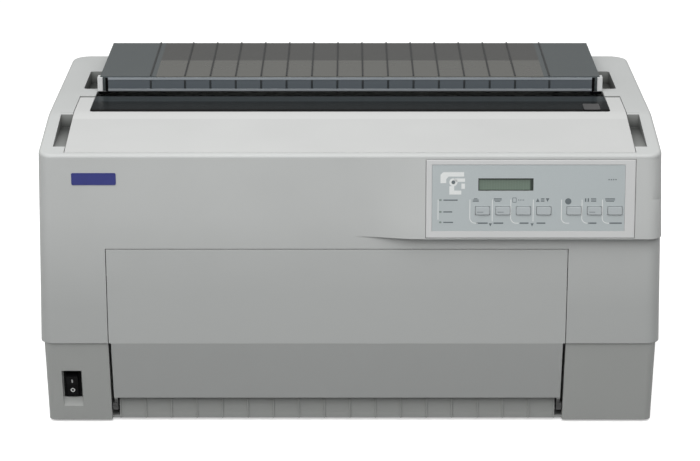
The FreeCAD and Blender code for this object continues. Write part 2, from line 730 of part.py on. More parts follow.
def side_pockets():
    """The two finger recesses of the right side, as (housing, space) pairs."""
    left = COVER_HALF_WIDTH
    right = left + RECESS_WIDTH
    front = FACE_Y + RECESS_FRONT_BACK
    back = front + RECESS_LENGTH
    low = CASE_TOP - RECESS_DEPTH - 2 * POCKET_WALL
    housing = block(left - POCKET_WALL, right + POCKET_WALL, front - POCKET_WALL, back + POCKET_WALL, low,
                    CASE_TOP)
    housing = housing.cut(lid_room())
    space = pocket(left, right, front, back, RECESS_DEPTH, RECESS_SHALLOW)
    notch_left = GUIDE_HALF_WIDTH + NOTCH_GAP
    notch_front = GUIDE_FRONT_Y + NOTCH_FRONT_BACK
    notch_back = notch_front + NOTCH_LENGTH
    notch_low = CASE_TOP - NOTCH_DEPTH
    notch_right = COVER_HALF_WIDTH
    notch_housing = block(notch_left - POCKET_WALL, notch_right + POCKET_WALL, notch_front - POCKET_WALL,
                          notch_back + POCKET_WALL, notch_low - POCKET_WALL, CASE_TOP - EASE)
    notch = rounded_plate(notch_left, notch_right, notch_front, notch_back, notch_low, CASE_TOP + OVERRUN,
                          POCKET_CORNER_RADIUS)
    return [(housing, space), (notch_housing, notch)]


def hinge_tab():
    """The tab under the right rail that holds a hinge pin of the top cover."""
    left = COVER_HALF_WIDTH + SEAM
    low = CASE_UNDER_TOP - HINGE_TAB_HEIGHT
    return block(left, left + HINGE_TAB_THICK, COVER_HINGE_Y - HINGE_TAB_DEPTH / 2,
                 COVER_HINGE_Y + HINGE_TAB_DEPTH / 2, low, CASE_UNDER_TOP + EASE)


def guide_ear():
    """The ear on the right of the case's rear strip that holds a hinge pin of the paper guide."""
    right = GUIDE_HALF_WIDTH - GUIDE_THICK - GUIDE_EAR_GAP
    left = right - GUIDE_EAR_THICK
    ear = block(left, right, GUIDE_HINGE_Y - GUIDE_EAR_RADIUS, GUIDE_HINGE_Y + GUIDE_EAR_RADIUS,
                CASE_UNDER_TOP, GUIDE_HINGE_Z)
    return ear.fuse(rod_x(GUIDE_EAR_RADIUS, left, right, GUIDE_HINGE_Y, GUIDE_HINGE_Z))


def case_openings():
    """What the covers, the panel and the paper path leave open in the upper case."""
    lid = COVER_HALF_WIDTH + SEAM
    over = CASE_TOP + OVERRUN
    knuckle_y = COVER_BACK_Y + SEAM
    front_y = COVER_FRONT_Y - SEAM
    slot_low = FRONT_EDGE_TOP - WALL - COVER_RIM_HEIGHT
    holes = [block(-lid, lid, front_y, knuckle_y, slot_low, over)]
    holes.append(block(-SLOT_HALF_WIDTH, SLOT_HALF_WIDTH, COVER_HINGE_Y, GUIDE_FRONT_Y, slot_low, over))
    holes.append(block(-GUIDE_OPENING_HALF, GUIDE_OPENING_HALF, COVER_HINGE_Y, GUIDE_OPENING_BACK,
                       CASE_UNDER_TOP - OVERRUN, over))
    holes.append(block(BAY_LEFT - SEAM, BAY_RIGHT + SEAM, LIP_Y - OVERRUN, FACE_Y + FLANGE_WIDTH + OVERRUN,
                       BAND_HEIGHT - OVERRUN, DOOR_TOP + SEAM))
    holes.append(on_panel(block(PANEL_LEFT, PANEL_RIGHT, -OVERRUN, BULGE_DEPTH, EASE, PANEL_TALL - EASE)))
    holes.append(block(-REAR_COVER_HALF_WIDTH, REAR_COVER_HALF_WIDTH, REAR_Y - REAR_COVER_THICK,
                       REAR_Y + OVERRUN, REAR_COVER_LOW, REAR_COVER_HIGH))
    holes.append(block(-REAR_COVER_HALF_WIDTH + REAR_COVER_LEDGE, REAR_COVER_HALF_WIDTH - REAR_COVER_LEDGE,
                       REAR_Y - WALL - OVERRUN, REAR_Y, REAR_COVER_LOW + REAR_COVER_LEDGE,
                       REAR_COVER_HIGH - REAR_COVER_LEDGE))
    return holes


def cover_ledge():
    """The shelf inside the front edge that the closed top cover rests on."""
    lid = COVER_HALF_WIDTH + SEAM
    low = FRONT_EDGE_TOP - WALL - COVER_LEDGE_GAP - COVER_LEDGE_THICK
    shelf = block(-lid, lid, FACE_Y + WALL - EASE, COVER_FRONT_Y + COVER_LEDGE, low, FRONT_EDGE_TOP)
    return shelf.cut([lid_room(), block(-lid, lid, FACE_Y + WALL, COVER_FRONT_Y - SEAM,
                                        low + COVER_LEDGE_THICK, CASE_TOP)])


def upper_case():
    """One moulding: front, side rails, rear wall and the top round the covers."""
    body = case_form(0, BAND_HEIGHT).fuse(bulge()).removeSplitter()
    shell = body.cut(case_form(WALL, BAND_HEIGHT + WALL))
    edge = WALL + FLANGE_WIDTH
    shell = shell.cut(block(-HALF_WIDTH + edge, HALF_WIDTH - edge, FACE_Y + FLANGE_WIDTH, REAR_Y - edge,
                            BAND_HEIGHT - OVERRUN, BAND_HEIGHT + WALL + OVERRUN))
    shell = shell.cut(case_openings())
    added = [cover_ledge(), hinge_tab(), mirrored(hinge_tab()), guide_ear(), mirrored(guide_ear())]
    spaces = []
    for housing, space in side_pockets():
        housing = housing.common(case_form(0, BAND_HEIGHT))
        added += [housing, mirrored(housing)]
        spaces += [space, mirrored(space)]
    return shell.fuse(added).removeSplitter().cut(spaces + hinge_pins_at(HINGE_PIN_RADIUS))


def hinge_pins_at(radius):
    """The six hinge pins, or the bores that they take, with the given radius."""
    lid = COVER_HALF_WIDTH
    cover = rod_x(radius, lid - COVER_ARM_WIDTH / 2, lid + SEAM + HINGE_TAB_THICK, COVER_HINGE_Y,
                  COVER_HINGE_Z)
    ear = GUIDE_HALF_WIDTH - GUIDE_THICK - GUIDE_EAR_GAP - GUIDE_EAR_THICK
    guide = rod_x(radius, ear, GUIDE_HALF_WIDTH, GUIDE_HINGE_Y, GUIDE_HINGE_Z)
    reach = WALL + SEAM + DOOR_ARM_WIDTH
    left = rod_x(radius, BAY_LEFT - SEAM - WALL, BAY_LEFT - SEAM - WALL + reach, DOOR_HINGE_Y,
                 DOOR_HINGE_HEIGHT)
    right = rod_x(radius, BAY_RIGHT + SEAM + WALL - reach, BAY_RIGHT + SEAM + WALL, DOOR_HINGE_Y,
                  DOOR_HINGE_HEIGHT)
    return [cover, mirrored(cover), guide, mirrored(guide), left, right]


def hinge_pins():
    """Steel pins of the top cover, the paper guide and the front cover."""
    return Part.makeCompound(hinge_pins_at(HINGE_PIN_RADIUS))


def top_cover():
    """The lid over the front: a sheet following the slope, with an arm each side of the slot."""
    lid = COVER_HALF_WIDTH
    sheet = case_form(0, BAND_HEIGHT).cut(case_form(WALL, BAND_HEIGHT - OVERRUN))
    low = FRONT_EDGE_TOP - WALL - EASE
    plate = sheet.common(block(-lid, lid, COVER_FRONT_Y, COVER_HINGE_Y, low, CASE_TOP + OVERRUN))
    slot = rounded_plate(-SLOT_HALF_WIDTH, SLOT_HALF_WIDTH, SLOT_FRONT_Y,
                         COVER_HINGE_Y + 2 * OVERRUN + COVER_HINGE_DROP,
                         low, CASE_TOP + OVERRUN, SLOT_CORNER_RADIUS)
    plate = plate.cut(slot)
    pieces = [plate]
    for side in (-1, 1):
        ends = sorted((side * SLOT_HALF_WIDTH, side * lid))
        pieces.append(rod_x(COVER_HINGE_DROP, ends[0], ends[1], COVER_HINGE_Y, COVER_HINGE_Z))
    rim_y = SLOT_FRONT_Y - COVER_RIM_GAP
    rim = block(-SLOT_HALF_WIDTH, SLOT_HALF_WIDTH, rim_y - COVER_RIM_THICK, rim_y,
                CASE_UNDER_TOP - COVER_RIM_HEIGHT,
                slope_height(rim_y) - WALL)
    pieces.append(rim)
    cover = fuse(pieces)
    bore = HINGE_PIN_RADIUS + RUNNING_GAP
    pin = rod_x(bore, lid - COVER_ARM_WIDTH / 2 - EASE, lid + OVERRUN, COVER_HINGE_Y, COVER_HINGE_Z)
    ledge = slot_pane_seat()
    return cover.cut([pin, mirrored(pin), ledge])


def slot_pane_seat():
    """The groove under the slot's edge that the window's flange lies in."""
    half = SLOT_HALF_WIDTH + PANE_SIDE_LAP
    return block(-half, half, SLOT_FRONT_Y - PANE_SIDE_LAP, COVER_HINGE_Y - COVER_HINGE_DROP,
                 CASE_TOP - PANE_THICK, CASE_TOP - PANE_SKIN)


def cover_window():
    """The smoked window that closes the front of the slot."""
    low = CASE_TOP - PANE_THICK
    back = COVER_HINGE_Y - COVER_HINGE_DROP
    filling = rounded_plate(-SLOT_HALF_WIDTH, SLOT_HALF_WIDTH, SLOT_FRONT_Y, back, low, CASE_TOP,
                            SLOT_CORNER_RADIUS)
    tongue = block(-SLOT_HALF_WIDTH + SEAM, SLOT_HALF_WIDTH - SEAM, SLOT_FRONT_Y + SLOT_CORNER_RADIUS,
                   PANE_BACK_Y, low, CASE_TOP)
    top = filling.common(case_form(0, BAND_HEIGHT))
    return fuse([slot_pane_seat(), top, tongue])


def lower_front(z):
    """Depth of the lower case's slanting front at height z."""
    return LOWER_FOOT_Y - LOWER_SLANT * (z - FOOT_HEIGHT) / LOWER_TALL


def lower_form(inset, low, high):
    """The lower case's outer body, drawn in by inset, slanting at the front."""
    def outline(z, half, front):
        rear = LOWER_REAR_Y - inset
        return Part.makePolygon([Vector(-half, front, z), Vector(half, front, z), Vector(half, rear, z),
                                 Vector(-half, rear, z), Vector(-half, front, z)])

    half = HALF_WIDTH + CASE_FLARE - LOWER_SIDE_INSET - inset
    body = Part.makeLoft([outline(FOOT_HEIGHT, half, LOWER_FOOT_Y + inset),
                          outline(BAND_HEIGHT, half, LOWER_TOP_Y + inset)], True, True)
    uprights = [e for e in body.Edges if e.BoundBox.ZLength > LOWER_TALL / 2]
    body = body.makeFillet(LOWER_CORNER_RADIUS - inset, uprights)
    return body.common(block(-CASE_WIDTH, CASE_WIDTH, -CASE_DEPTH, CASE_DEPTH, low, high))


SWITCH_FRAME = Placement(Vector(SWITCH_X, lower_front(SWITCH_HEIGHT), SWITCH_HEIGHT),
                         Rotation(AXIS_X, LOWER_LEAN))


def on_slant(shape):
    """Moves a piece from the power switch's own frame to its place."""
    placed = shape.copy()
    placed.Placement = SWITCH_FRAME.multiply(placed.Placement)
    return placed


def centred(width, height, y0, y1):
    """A box centred on X and Z, between two depths."""
    return block(-width / 2, width / 2, y0, y1, -height / 2, height / 2)


def lower_case():
    """The tub that the chassis stands in, open at the front between its two blocks."""
    shell = lower_form(0, FOOT_HEIGHT, BAND_HEIGHT).cut(lower_form(WALL, FLOOR_TOP, BAND_HEIGHT + OVERRUN))
    bay_back = BAY_FLOOR_Y
    shell = shell.cut(block(BAY_LEFT - SEAM, BAY_RIGHT + SEAM, LIP_Y, bay_back, 0, BAND_HEIGHT + OVERRUN))
    form = lower_form(0, FOOT_HEIGHT, BAND_HEIGHT)
    deep = LOWER_TOP_Y + BAY_WALL_DEPTH
    walls = [block(BAY_LEFT - SEAM - WALL, BAY_LEFT - SEAM, LIP_Y, deep, FOOT_HEIGHT,
                   BAND_HEIGHT).common(form)]
    walls.append(block(BAY_RIGHT + SEAM, BAY_RIGHT + SEAM + WALL, LIP_Y, deep, FOOT_HEIGHT,
                       BAND_HEIGHT).common(form))
    half_high = SWITCH_RECESS_HEIGHT / 2
    margin = SWITCH_RECESS_WIDTH / 2 + POCKET_WALL
    back = SWITCH_RECESS_DEPTH + POCKET_WALL
    housing = on_slant(block(-margin, margin, 0, back, -half_high - SCOOP_RADIUS, half_high + POCKET_WALL))
    walls.append(housing.common(form))
    recess = on_slant(centred(SWITCH_RECESS_WIDTH, SWITCH_RECESS_HEIGHT, -OVERRUN, SWITCH_RECESS_DEPTH))
    hole = on_slant(centred(SWITCH_BODY_WIDTH, SWITCH_BODY_HEIGHT, 0, back + OVERRUN))
    scoop = on_slant(rod_x(SCOOP_RADIUS, -SWITCH_RECESS_WIDTH / 2, SWITCH_RECESS_WIDTH / 2, -SCOOP_STANDOFF,
                           -half_high - SCOOP_DROP))
    cuts = [recess, hole, scoop] + screw_shanks() + hinge_pins_at(HINGE_PIN_RADIUS)
    wall_y = LOWER_REAR_Y - WALL - OVERRUN
    cuts.append(block(INLET_X - INLET_WIDTH / 2, INLET_X + INLET_WIDTH / 2, wall_y, REAR_Y,
                      INLET_Z - INLET_HEIGHT / 2, INLET_Z + INLET_HEIGHT / 2))
    cuts.append(block(PORT_PLATE_LEFT + PORT_LAP, PORT_PLATE_LEFT + PORT_PLATE_WIDTH - PORT_LAP, wall_y,
                      REAR_Y,
                      PORT_PLATE_LOW + PORT_LAP, PORT_PLATE_LOW + PORT_PLATE_HEIGHT - PORT_LAP))
    return shell.fuse(walls).removeSplitter().cut(cuts)


def screw_places():
    """Where the screws under the base stand."""
    for side in (-1, 1):
        for i in range(SCREW_COUNT):
            yield side * (HALF_WIDTH - SCREW_SIDE_INSET), FACE_Y + SCREW_FRONT_INSET + i * SCREW_PITCH


def screw_shanks():
    return [rod_z(SCREW_SHANK_RADIUS, FOOT_HEIGHT, TRAY_TOP, x, y) for x, y in screw_places()]


def base_screws():
    """Pan head screws that hold the chassis tray down on the lower case."""
    heads = []
    for (x, y), shank in zip(screw_places(), screw_shanks()):
        heads.append(rod_z(SCREW_HEAD_RADIUS, FOOT_HEIGHT - SCREW_HEAD_THICK, FOOT_HEIGHT, x, y).fuse(shank))
    return Part.makeCompound(heads)


def rubber_feet():
    feet = []
    for side in (-1, 1):
        for y in (FACE_Y + FOOT_FRONT_INSET, REAR_Y - FOOT_REAR_INSET):
            foot = rod_z(FOOT_RADIUS, 0, FOOT_HEIGHT, side * (HALF_WIDTH - FOOT_SIDE_INSET), y)
            feet.append(foot.makeChamfer(EASE, [e for e in foot.Edges if e.BoundBox.ZMax < EASE / 2]))
    return Part.makeCompound(feet)


def front_cover():
    """The drop-down cover over the tractors, bent where the two cases meet."""
    bottom_y = lower_front(DOOR_BOTTOM)
    inner = FACE_Y + DOOR_THICK
    left, right = BAY_LEFT + DOOR_LOWER_INSET, BAY_RIGHT - DOOR_LOWER_INSET
    slant = [(FACE_Y, BAND_HEIGHT), (bottom_y, DOOR_BOTTOM), (bottom_y + DOOR_THICK, DOOR_BOTTOM),
             (inner, BAND_HEIGHT)]
    pieces = [block(BAY_LEFT, BAY_RIGHT, FACE_Y, inner, BAND_HEIGHT, DOOR_TOP), prism_x(slant, left, right)]
    knee = (DOOR_BOTTOM + BAND_HEIGHT) / 2
    arm = [(lower_front(knee) + DOOR_THICK, knee), (DOOR_HINGE_Y + HINGE_BOSS_RADIUS, DOOR_HINGE_HEIGHT)]
    arm += [(DOOR_HINGE_Y, DOOR_HINGE_HEIGHT - HINGE_BOSS_RADIUS), (bottom_y + EASE, DOOR_BOTTOM)]
    for x in (left, right - DOOR_ARM_WIDTH):
        pieces.append(prism_x(arm, x, x + DOOR_ARM_WIDTH))
    for x0, x1 in ((BAY_LEFT, left + DOOR_ARM_WIDTH), (right - DOOR_ARM_WIDTH, BAY_RIGHT)):
        pieces.append(rod_x(HINGE_BOSS_RADIUS, x0, x1, DOOR_HINGE_Y, DOOR_HINGE_HEIGHT))
    middle = (BAY_LEFT + BAY_RIGHT) / 2
    for z in (BAND_HEIGHT + DOOR_RIB_HEIGHT, DOOR_TOP - 2 * DOOR_RIB_HEIGHT):
        pieces.append(block(middle - DOOR_RIB_WIDTH / 2, middle + DOOR_RIB_WIDTH / 2, inner - EASE,
                            inner + DOOR_RIB_PROUD, z, z + DOOR_RIB_HEIGHT))
    bore = rod_x(HINGE_PIN_RADIUS + RUNNING_GAP, BAY_LEFT - OVERRUN, BAY_RIGHT + OVERRUN, DOOR_HINGE_Y,
                 DOOR_HINGE_HEIGHT)
    return fuse(pieces).cut(bore)


def entry_strip():
    """The ribbed strip under the front cover, which fan-fold paper is led in over."""
    left = BAY_LEFT + ENTRY_END_GAP
    right = BAY_RIGHT - ENTRY_END_GAP
    front = FACE_Y + ENTRY_DEPTH
    low = FOOT_HEIGHT + ENTRY_LIFT
    top = FOOT_HEIGHT + ENTRY_HEIGHT
    pieces = [block(left, right, front, BAY_FLOOR_Y, low, top)]
    pitch = (right - left - ENTRY_RIB_WIDTH) / (ENTRY_RIB_COUNT - 1)
    for i in range(ENTRY_RIB_COUNT):
        x = left + i * pitch
        pieces.append(block(x, x + ENTRY_RIB_WIDTH, front - ENTRY_RIB_PROUD, front, low, top))
    return fuse(pieces)


def rear_cover():
    """The louvred plate that closes the back."""
    half = REAR_COVER_HALF_WIDTH - SEAM
    front = REAR_Y - REAR_COVER_THICK
    plate = block(-half, half, front, REAR_Y, REAR_COVER_LOW + SEAM, REAR_COVER_HIGH - SEAM)
    pitch = 2 * (half - LOUVRE_HEIGHT) / (LOUVRE_COUNT - 1)
    slots = []
    for row in (REAR_COVER_LOW + LOUVRE_HEIGHT / 2, REAR_COVER_HIGH - 3 * LOUVRE_HEIGHT / 2):
        for i in range(LOUVRE_COUNT):
            x = -half + LOUVRE_HEIGHT + i * pitch
            slots.append(block(x - LOUVRE_WIDTH / 2, x + LOUVRE_WIDTH / 2, front - OVERRUN, REAR_Y + OVERRUN,
                               row, row + LOUVRE_HEIGHT))
    return plate.cut(slots)


def guide_top(y):
    """Height of the paper guide's skin at depth y."""
    climb = GUIDE_REAR_RISE - GUIDE_FRONT_RISE
    return CASE_TOP + GUIDE_FRONT_RISE + climb * (y - GUIDE_FRONT_Y) / GUIDE_LENGTH


def paper_guide():
    """The smoked guide over the paper's way out, ribbed along the top and hinged at its rear."""
    half = GUIDE_HALF_WIDTH
    low = CASE_TOP + GUIDE_SKIRT_GAP
    front, rear = GUIDE_FRONT_Y, GUIDE_REAR_Y
    skin = [(front, guide_top(front)), (rear, guide_top(rear)), (rear, guide_top(rear) - GUIDE_THICK)]
    skin.append((front, guide_top(front) - GUIDE_THICK))
    end = [(front, low), (front, guide_top(front)), (rear, guide_top(rear)),
           (rear, guide_top(rear) - GUIDE_REAR_SKIRT)]
    end.append((GUIDE_HINGE_Y, low))
    pieces = [prism_x(skin, -half, half), prism_x(end, -half, -half + GUIDE_THICK),
              prism_x(end, half - GUIDE_THICK, half)]
    pieces.append(block(-half, half, front, front + GUIDE_THICK, low, guide_top(front)))
    ear = half - GUIDE_THICK - 2 * GUIDE_EAR_GAP - GUIDE_EAR_THICK
    pieces.append(block(-ear, ear, rear - GUIDE_THICK, rear, guide_top(rear) - GUIDE_REAR_SKIRT,
                        guide_top(rear) - EASE))
    places = [(i - (GUIDE_RIB_COUNT - 1) / 2) * GUIDE_RIB_PITCH for i in range(GUIDE_RIB_COUNT)]
    outer = places[-1] + GUIDE_OUTER_RIB_GAP
    for x in places + [-outer, outer]:
        rib = [(y, guide_top(y) - EASE) for y in (front, rear)] + [(rear, guide_top(rear) + GUIDE_RIB_PROUD)]
        rib.append((front, guide_top(front) + GUIDE_RIB_PROUD))
        pieces.append(prism_x(rib, x - GUIDE_RIB_WIDTH / 2, x + GUIDE_RIB_WIDTH / 2))
    bore = rod_x(HINGE_PIN_RADIUS + RUNNING_GAP, -half - OVERRUN, half + OVERRUN, GUIDE_HINGE_Y,
                 GUIDE_HINGE_Z)
    return fuse(pieces).cut(bore)


def tear_bar():
    """The strip across the guide's front that paper is torn off on."""
    half = GUIDE_HALF_WIDTH - TEAR_BAR_SIDE_INSET - BRACKET_WIDTH / 2
    return block(-half, half, GUIDE_FRONT_Y - TEAR_BAR_THICK, GUIDE_FRONT_Y, CASE_TOP + GUIDE_SKIRT_GAP,
                 guide_top(GUIDE_FRONT_Y) - EASE)


def guide_brackets():
    """The two pale end pieces that hold the tear bar's ends."""
    outer = GUIDE_HALF_WIDTH
    front = GUIDE_FRONT_Y - TEAR_BAR_THICK - EASE
    low = CASE_TOP + GUIDE_SKIRT_GAP
    end = block(outer - TEAR_BAR_SIDE_INSET, outer + BRACKET_WIDTH / 2, front, GUIDE_FRONT_Y, low,
                guide_top(front) - EASE)
    side = block(outer, outer + BRACKET_WIDTH / 2, front, front + BRACKET_DEPTH, low,
                 guide_top(front) - EASE)
    bracket = fuse([end, side])
    bracket = rounded(bracket, EASE, lambda e: is_vertical(e) and e.BoundBox.YMax < front + EASE / 2)
    return Part.makeCompound([bracket, mirrored(bracket)])


def key_place(i):
    """The middle of key i, in the first group of keys or past the gap in the second."""
    gap = KEY_GROUP_GAP if i >= KEY_FIRST_GROUP else 0
    return KEY_GROUP_LEFT + i * KEY_PITCH + gap


def panel_apertures(y0, y1):
    """The display's and the keys' holes, in the panel's frame."""
    holes = [block(LCD_LEFT, LCD_LEFT + LCD_WIDTH, y0, y1, LCD_LOW, LCD_LOW + LCD_HEIGHT)]
    half = KEY_WIDTH / 2 + KEY_GAP
    for i in range(len(KEY_NAMES)):
        x = key_place(i)
        holes.append(block(x - half, x + half, y0, y1, KEY_LOW - KEY_GAP, KEY_LOW + KEY_HEIGHT + KEY_GAP))
    return holes


def overlay_box(margin, y0, y1):
    """The overlay's room on the bezel, drawn in by margin."""
    return block(PANEL_LEFT + OVERLAY_SIDE + margin, PANEL_RIGHT - OVERLAY_RIGHT - margin, y0, y1,
                 OVERLAY_LOW + margin, OVERLAY_HIGH - margin)


def panel_bezel():
    """The frame of the control panel, set in the swelling of the case."""
    left, right = PANEL_LEFT + BEZEL_MARGIN, PANEL_RIGHT - BEZEL_MARGIN
    low, high = EASE + BEZEL_MARGIN, PANEL_TALL - EASE - BEZEL_MARGIN
    body = block(left, right, 0, BEZEL_DEPTH, low, high)
    body = body.makeFillet(BEZEL_EDGE_RADIUS, [e for e in body.Edges if e.BoundBox.YMax < EASE / 2])
    body = body.cut(block(left + BEZEL_WALL, right - BEZEL_WALL, BEZEL_PLATE, BEZEL_DEPTH + OVERRUN,
                          low + BEZEL_WALL, high - BEZEL_WALL))
    body = body.cut([overlay_box(0, -OVERRUN, OVERLAY_SINK + OVERLAY_THICK)] + panel_apertures(-OVERRUN,
                                                                                               BEZEL_DEPTH))
    return on_panel(body)


def panel_overlay():
    """The printed sheet on the bezel, open at the display and the keys."""
    sheet = overlay_box(OVERLAY_MARGIN, OVERLAY_SINK, OVERLAY_SINK + OVERLAY_THICK)
    return on_panel(sheet.cut(panel_apertures(-OVERRUN, BEZEL_DEPTH)))


def lcd_module():
    """The display behind its hole in the bezel, held to the panel board."""
    margin = LCD_BODY_MARGIN
    body = block(LCD_LEFT - margin, LCD_LEFT + LCD_WIDTH + margin, BEZEL_PLATE, BEZEL_PLATE + LCD_BODY_DEPTH,
                 LCD_LOW - margin, LCD_LOW + LCD_HEIGHT + margin)
    return on_panel(body)


def panel_board():
    """The panel's circuit board with a tact switch behind each key and a stand for the display."""
    inset = BEZEL_MARGIN + EASE
    pieces = [block(PANEL_LEFT + inset, PANEL_RIGHT - inset, BEZEL_DEPTH, BEZEL_DEPTH + PANEL_BOARD_THICK,
                    2 * inset, PANEL_TALL - 2 * inset)]
    half = TACT_SIZE / 2
    middle = KEY_LOW + KEY_HEIGHT / 2
    for i in range(len(KEY_NAMES)):
        x = key_place(i)
        pieces.append(block(x - half, x + half, BEZEL_DEPTH - TACT_HEIGHT, BEZEL_DEPTH, middle - half,
                            middle + half))
    pieces.append(block(LCD_LEFT, LCD_LEFT + LCD_WIDTH, BEZEL_PLATE + LCD_BODY_DEPTH, BEZEL_DEPTH, LCD_LOW,
                        LCD_LOW + LCD_HEIGHT))
    return on_panel(fuse(pieces))


def panel_key(i):
    """One key: a cap through the overlay, a flange behind the bezel and a stem to its switch."""
    x = key_place(i)
    half = KEY_WIDTH / 2
    high = KEY_LOW + KEY_HEIGHT
    flange = BEZEL_PLATE + KEY_FLANGE_GAP
    cap = block(x - half, x + half, -KEY_PROUD, flange, KEY_LOW, high)
    cap = cap.makeFillet(KEY_CORNER_RADIUS, [e for e in cap.Edges if e.BoundBox.YLength > EASE])
    cap = cap.makeFillet(KEY_GAP, [e for e in cap.Edges if e.BoundBox.YMax < EASE / 2 - KEY_PROUD])
    skirt = KEY_FLANGE
    back = flange + KEY_FLANGE_THICK
    plate = block(x - half - skirt, x + half + skirt, flange, back, KEY_LOW - skirt, high + skirt)
    reach = BEZEL_DEPTH - TACT_HEIGHT - KEY_TRAVEL - KEY_TRAVEL_SPARE
    stem = rod_y(KEY_STEM_RADIUS, back, reach, x, KEY_LOW + KEY_HEIGHT / 2)
    return on_panel(fuse([cap, plate, stem]))


def switch_frame():
    """The power switch's body, with its plate on the floor of the recess."""
    depth = SWITCH_RECESS_DEPTH
    plate = centred(SWITCH_PLATE_WIDTH, SWITCH_PLATE_HEIGHT, depth - SWITCH_PLATE_THICK, depth)
    body = centred(SWITCH_BODY_WIDTH, SWITCH_BODY_HEIGHT, depth - EASE, depth + SWITCH_BODY_DEPTH)
    front = depth - SWITCH_PLATE_THICK
    well = centred(SWITCH_WELL_WIDTH, SWITCH_WELL_HEIGHT, front - OVERRUN, front + SWITCH_WELL_DEPTH)
    half = SWITCH_WELL_WIDTH / 2 + ROCKER_AXLE_LENGTH
    bore = rod_x(ROCKER_AXLE_RADIUS + RUNNING_GAP, -half, half, front + ROCKER_PIVOT_DEPTH, 0)
    return on_slant(fuse([plate, body]).cut([well, bore]))


def power_rocker():
    """The rocker, at rest with its lower half pressed in."""
    front = SWITCH_RECESS_DEPTH - SWITCH_PLATE_THICK
    tip, dip = front - ROCKER_TIP_PROUD, front - ROCKER_DIP_PROUD
    back = front + ROCKER_PIVOT_DEPTH + ROCKER_BACK
    half, short = ROCKER_HALF_HEIGHT, ROCKER_BACK_HALF
    profile = [(tip, half), (dip, 0), (tip, -half), (front + ROCKER_PIVOT_DEPTH, -half), (back, -short)]
    profile += [(back, short), (front + ROCKER_PIVOT_DEPTH, half)]
    body = prism_x(profile, -ROCKER_WIDTH / 2, ROCKER_WIDTH / 2)
    reach = ROCKER_WIDTH / 2 + ROCKER_AXLE_LENGTH
    body = fuse([body, rod_x(ROCKER_AXLE_RADIUS, -reach, reach, front + ROCKER_PIVOT_DEPTH, 0)])
    body.rotate(Vector(0, front + ROCKER_PIVOT_DEPTH, 0), AXIS_X, ROCKER_TILT)
    return on_slant(body)


def chassis_tray():
    """The steel tray on the floor, with the main board's standoffs."""
    front = FACE_Y + TRAY_FRONT_BACK
    rear = REAR_Y - TRAY_REAR_INSET
    pieces = [block(-TRAY_HALF_WIDTH, TRAY_HALF_WIDTH, front, rear, FLOOR_TOP, TRAY_TOP)]
    board_rear = REAR_Y - BOARD_REAR_INSET
    inset = BOARD_POST_INSET
    for x in (BOARD_LEFT + inset, BOARD_LEFT + BOARD_LENGTH - inset):
        for y in (board_rear - BOARD_DEPTH + inset, board_rear - inset):
            pieces.append(rod_z(BOARD_POST_RADIUS, TRAY_TOP, BOARD_Z, x, y))
    return fuse(pieces).cut(screw_shanks())


def frame_holes(x0, x1, right):
    """Every hole that a frame has between x0 and x1."""
    holes = [rod_x(ROD_RADIUS, x0, x1, ROD_Y, ROD_Z), rod_x(SUPPORT_ROD_RADIUS, x0, x1, TRACTOR_Y,
                                                            tractor_top())]
    holes.append(rod_x(PLATEN_SHAFT_RADIUS + BUSH_WALL, x0, x1, PLATEN_Y, PLATEN_Z))
    holes.append(rod_x(JOURNAL_RADIUS + RUNNING_GAP, x0, x1, TRACTOR_Y, TRACTOR_Z))
    if right:
        holes.append(rod_x(MOTOR_SHAFT_RADIUS + MOTOR_SHAFT_HOLE_GAP, x0, x1, PINION_Y, PINION_Z))
    return holes


def side_frame(right):
    """A steel side frame, cut down towards the rear, with a foot on the tray."""
    profile = [(FRAME_FRONT_Y, TRAY_TOP), (FRAME_REAR_Y, TRAY_TOP), (FRAME_REAR_Y, FRAME_SHOULDER_Z)]
    profile += [(FRAME_REAR_Y - FRAME_REAR_SLOPE, FRAME_TOP), (FRAME_FRONT_Y, FRAME_TOP)]
    plate = prism_x(profile, FRAME_INNER_X, FRAME_OUTER_X)
    foot = block(FRAME_INNER_X - FRAME_FOOT_WIDTH, FRAME_OUTER_X, FRAME_FRONT_Y, FRAME_REAR_Y, TRAY_TOP,
                 TRAY_TOP + FRAME_FOOT_THICK)
    frame = fuse([plate, foot])
    if not right:
        frame = mirrored(frame)
    return frame.cut(frame_holes(-CASE_WIDTH, CASE_WIDTH, right))


def tractor_top():
    """Height of the rod that the tractors hang on."""
    return TRACTOR_Z + TRACTOR_LOOP_LENGTH


def cross_plate():
    """The plate between the frames that carries the ribbon's posts and the carriage drive."""
    top = CROSS_PLATE_TOP
    pieces = [block(-FRAME_INNER_X, FRAME_INNER_X, CROSS_PLATE_FRONT_Y, CROSS_PLATE_REAR_Y, CROSS_PLATE_Z,
                    top)]
    for side in (-1, 1):
        x = side * RIBBON_POST_X
        front = RIBBON_FRONT_Y + RIBBON_POST_INSET
        pieces.append(block(x - RIBBON_POST_WIDTH / 2, x + RIBBON_POST_WIDTH / 2, front,
                            front + RIBBON_POST_WIDTH,
                            top, RIBBON_BOTTOM))
    pulley_top = top + CARRIAGE_PULLEY_LIFT + pulley_height()
    pieces.append(rod_z(IDLER_PIN_RADIUS, top, pulley_top, -CARRIAGE_PULLEY_X, CARRIAGE_PULLEY_Y))
    hole = rod_z(MOTOR_SHAFT_RADIUS + MOTOR_SHAFT_HOLE_GAP, CROSS_PLATE_Z - OVERRUN, top + OVERRUN,
                 CARRIAGE_PULLEY_X, CARRIAGE_PULLEY_Y)
    return fuse(pieces).cut(hole)


def guide_rod():
    return rod_x(ROD_RADIUS, -FRAME_OUTER_X, FRAME_OUTER_X, ROD_Y, ROD_Z)


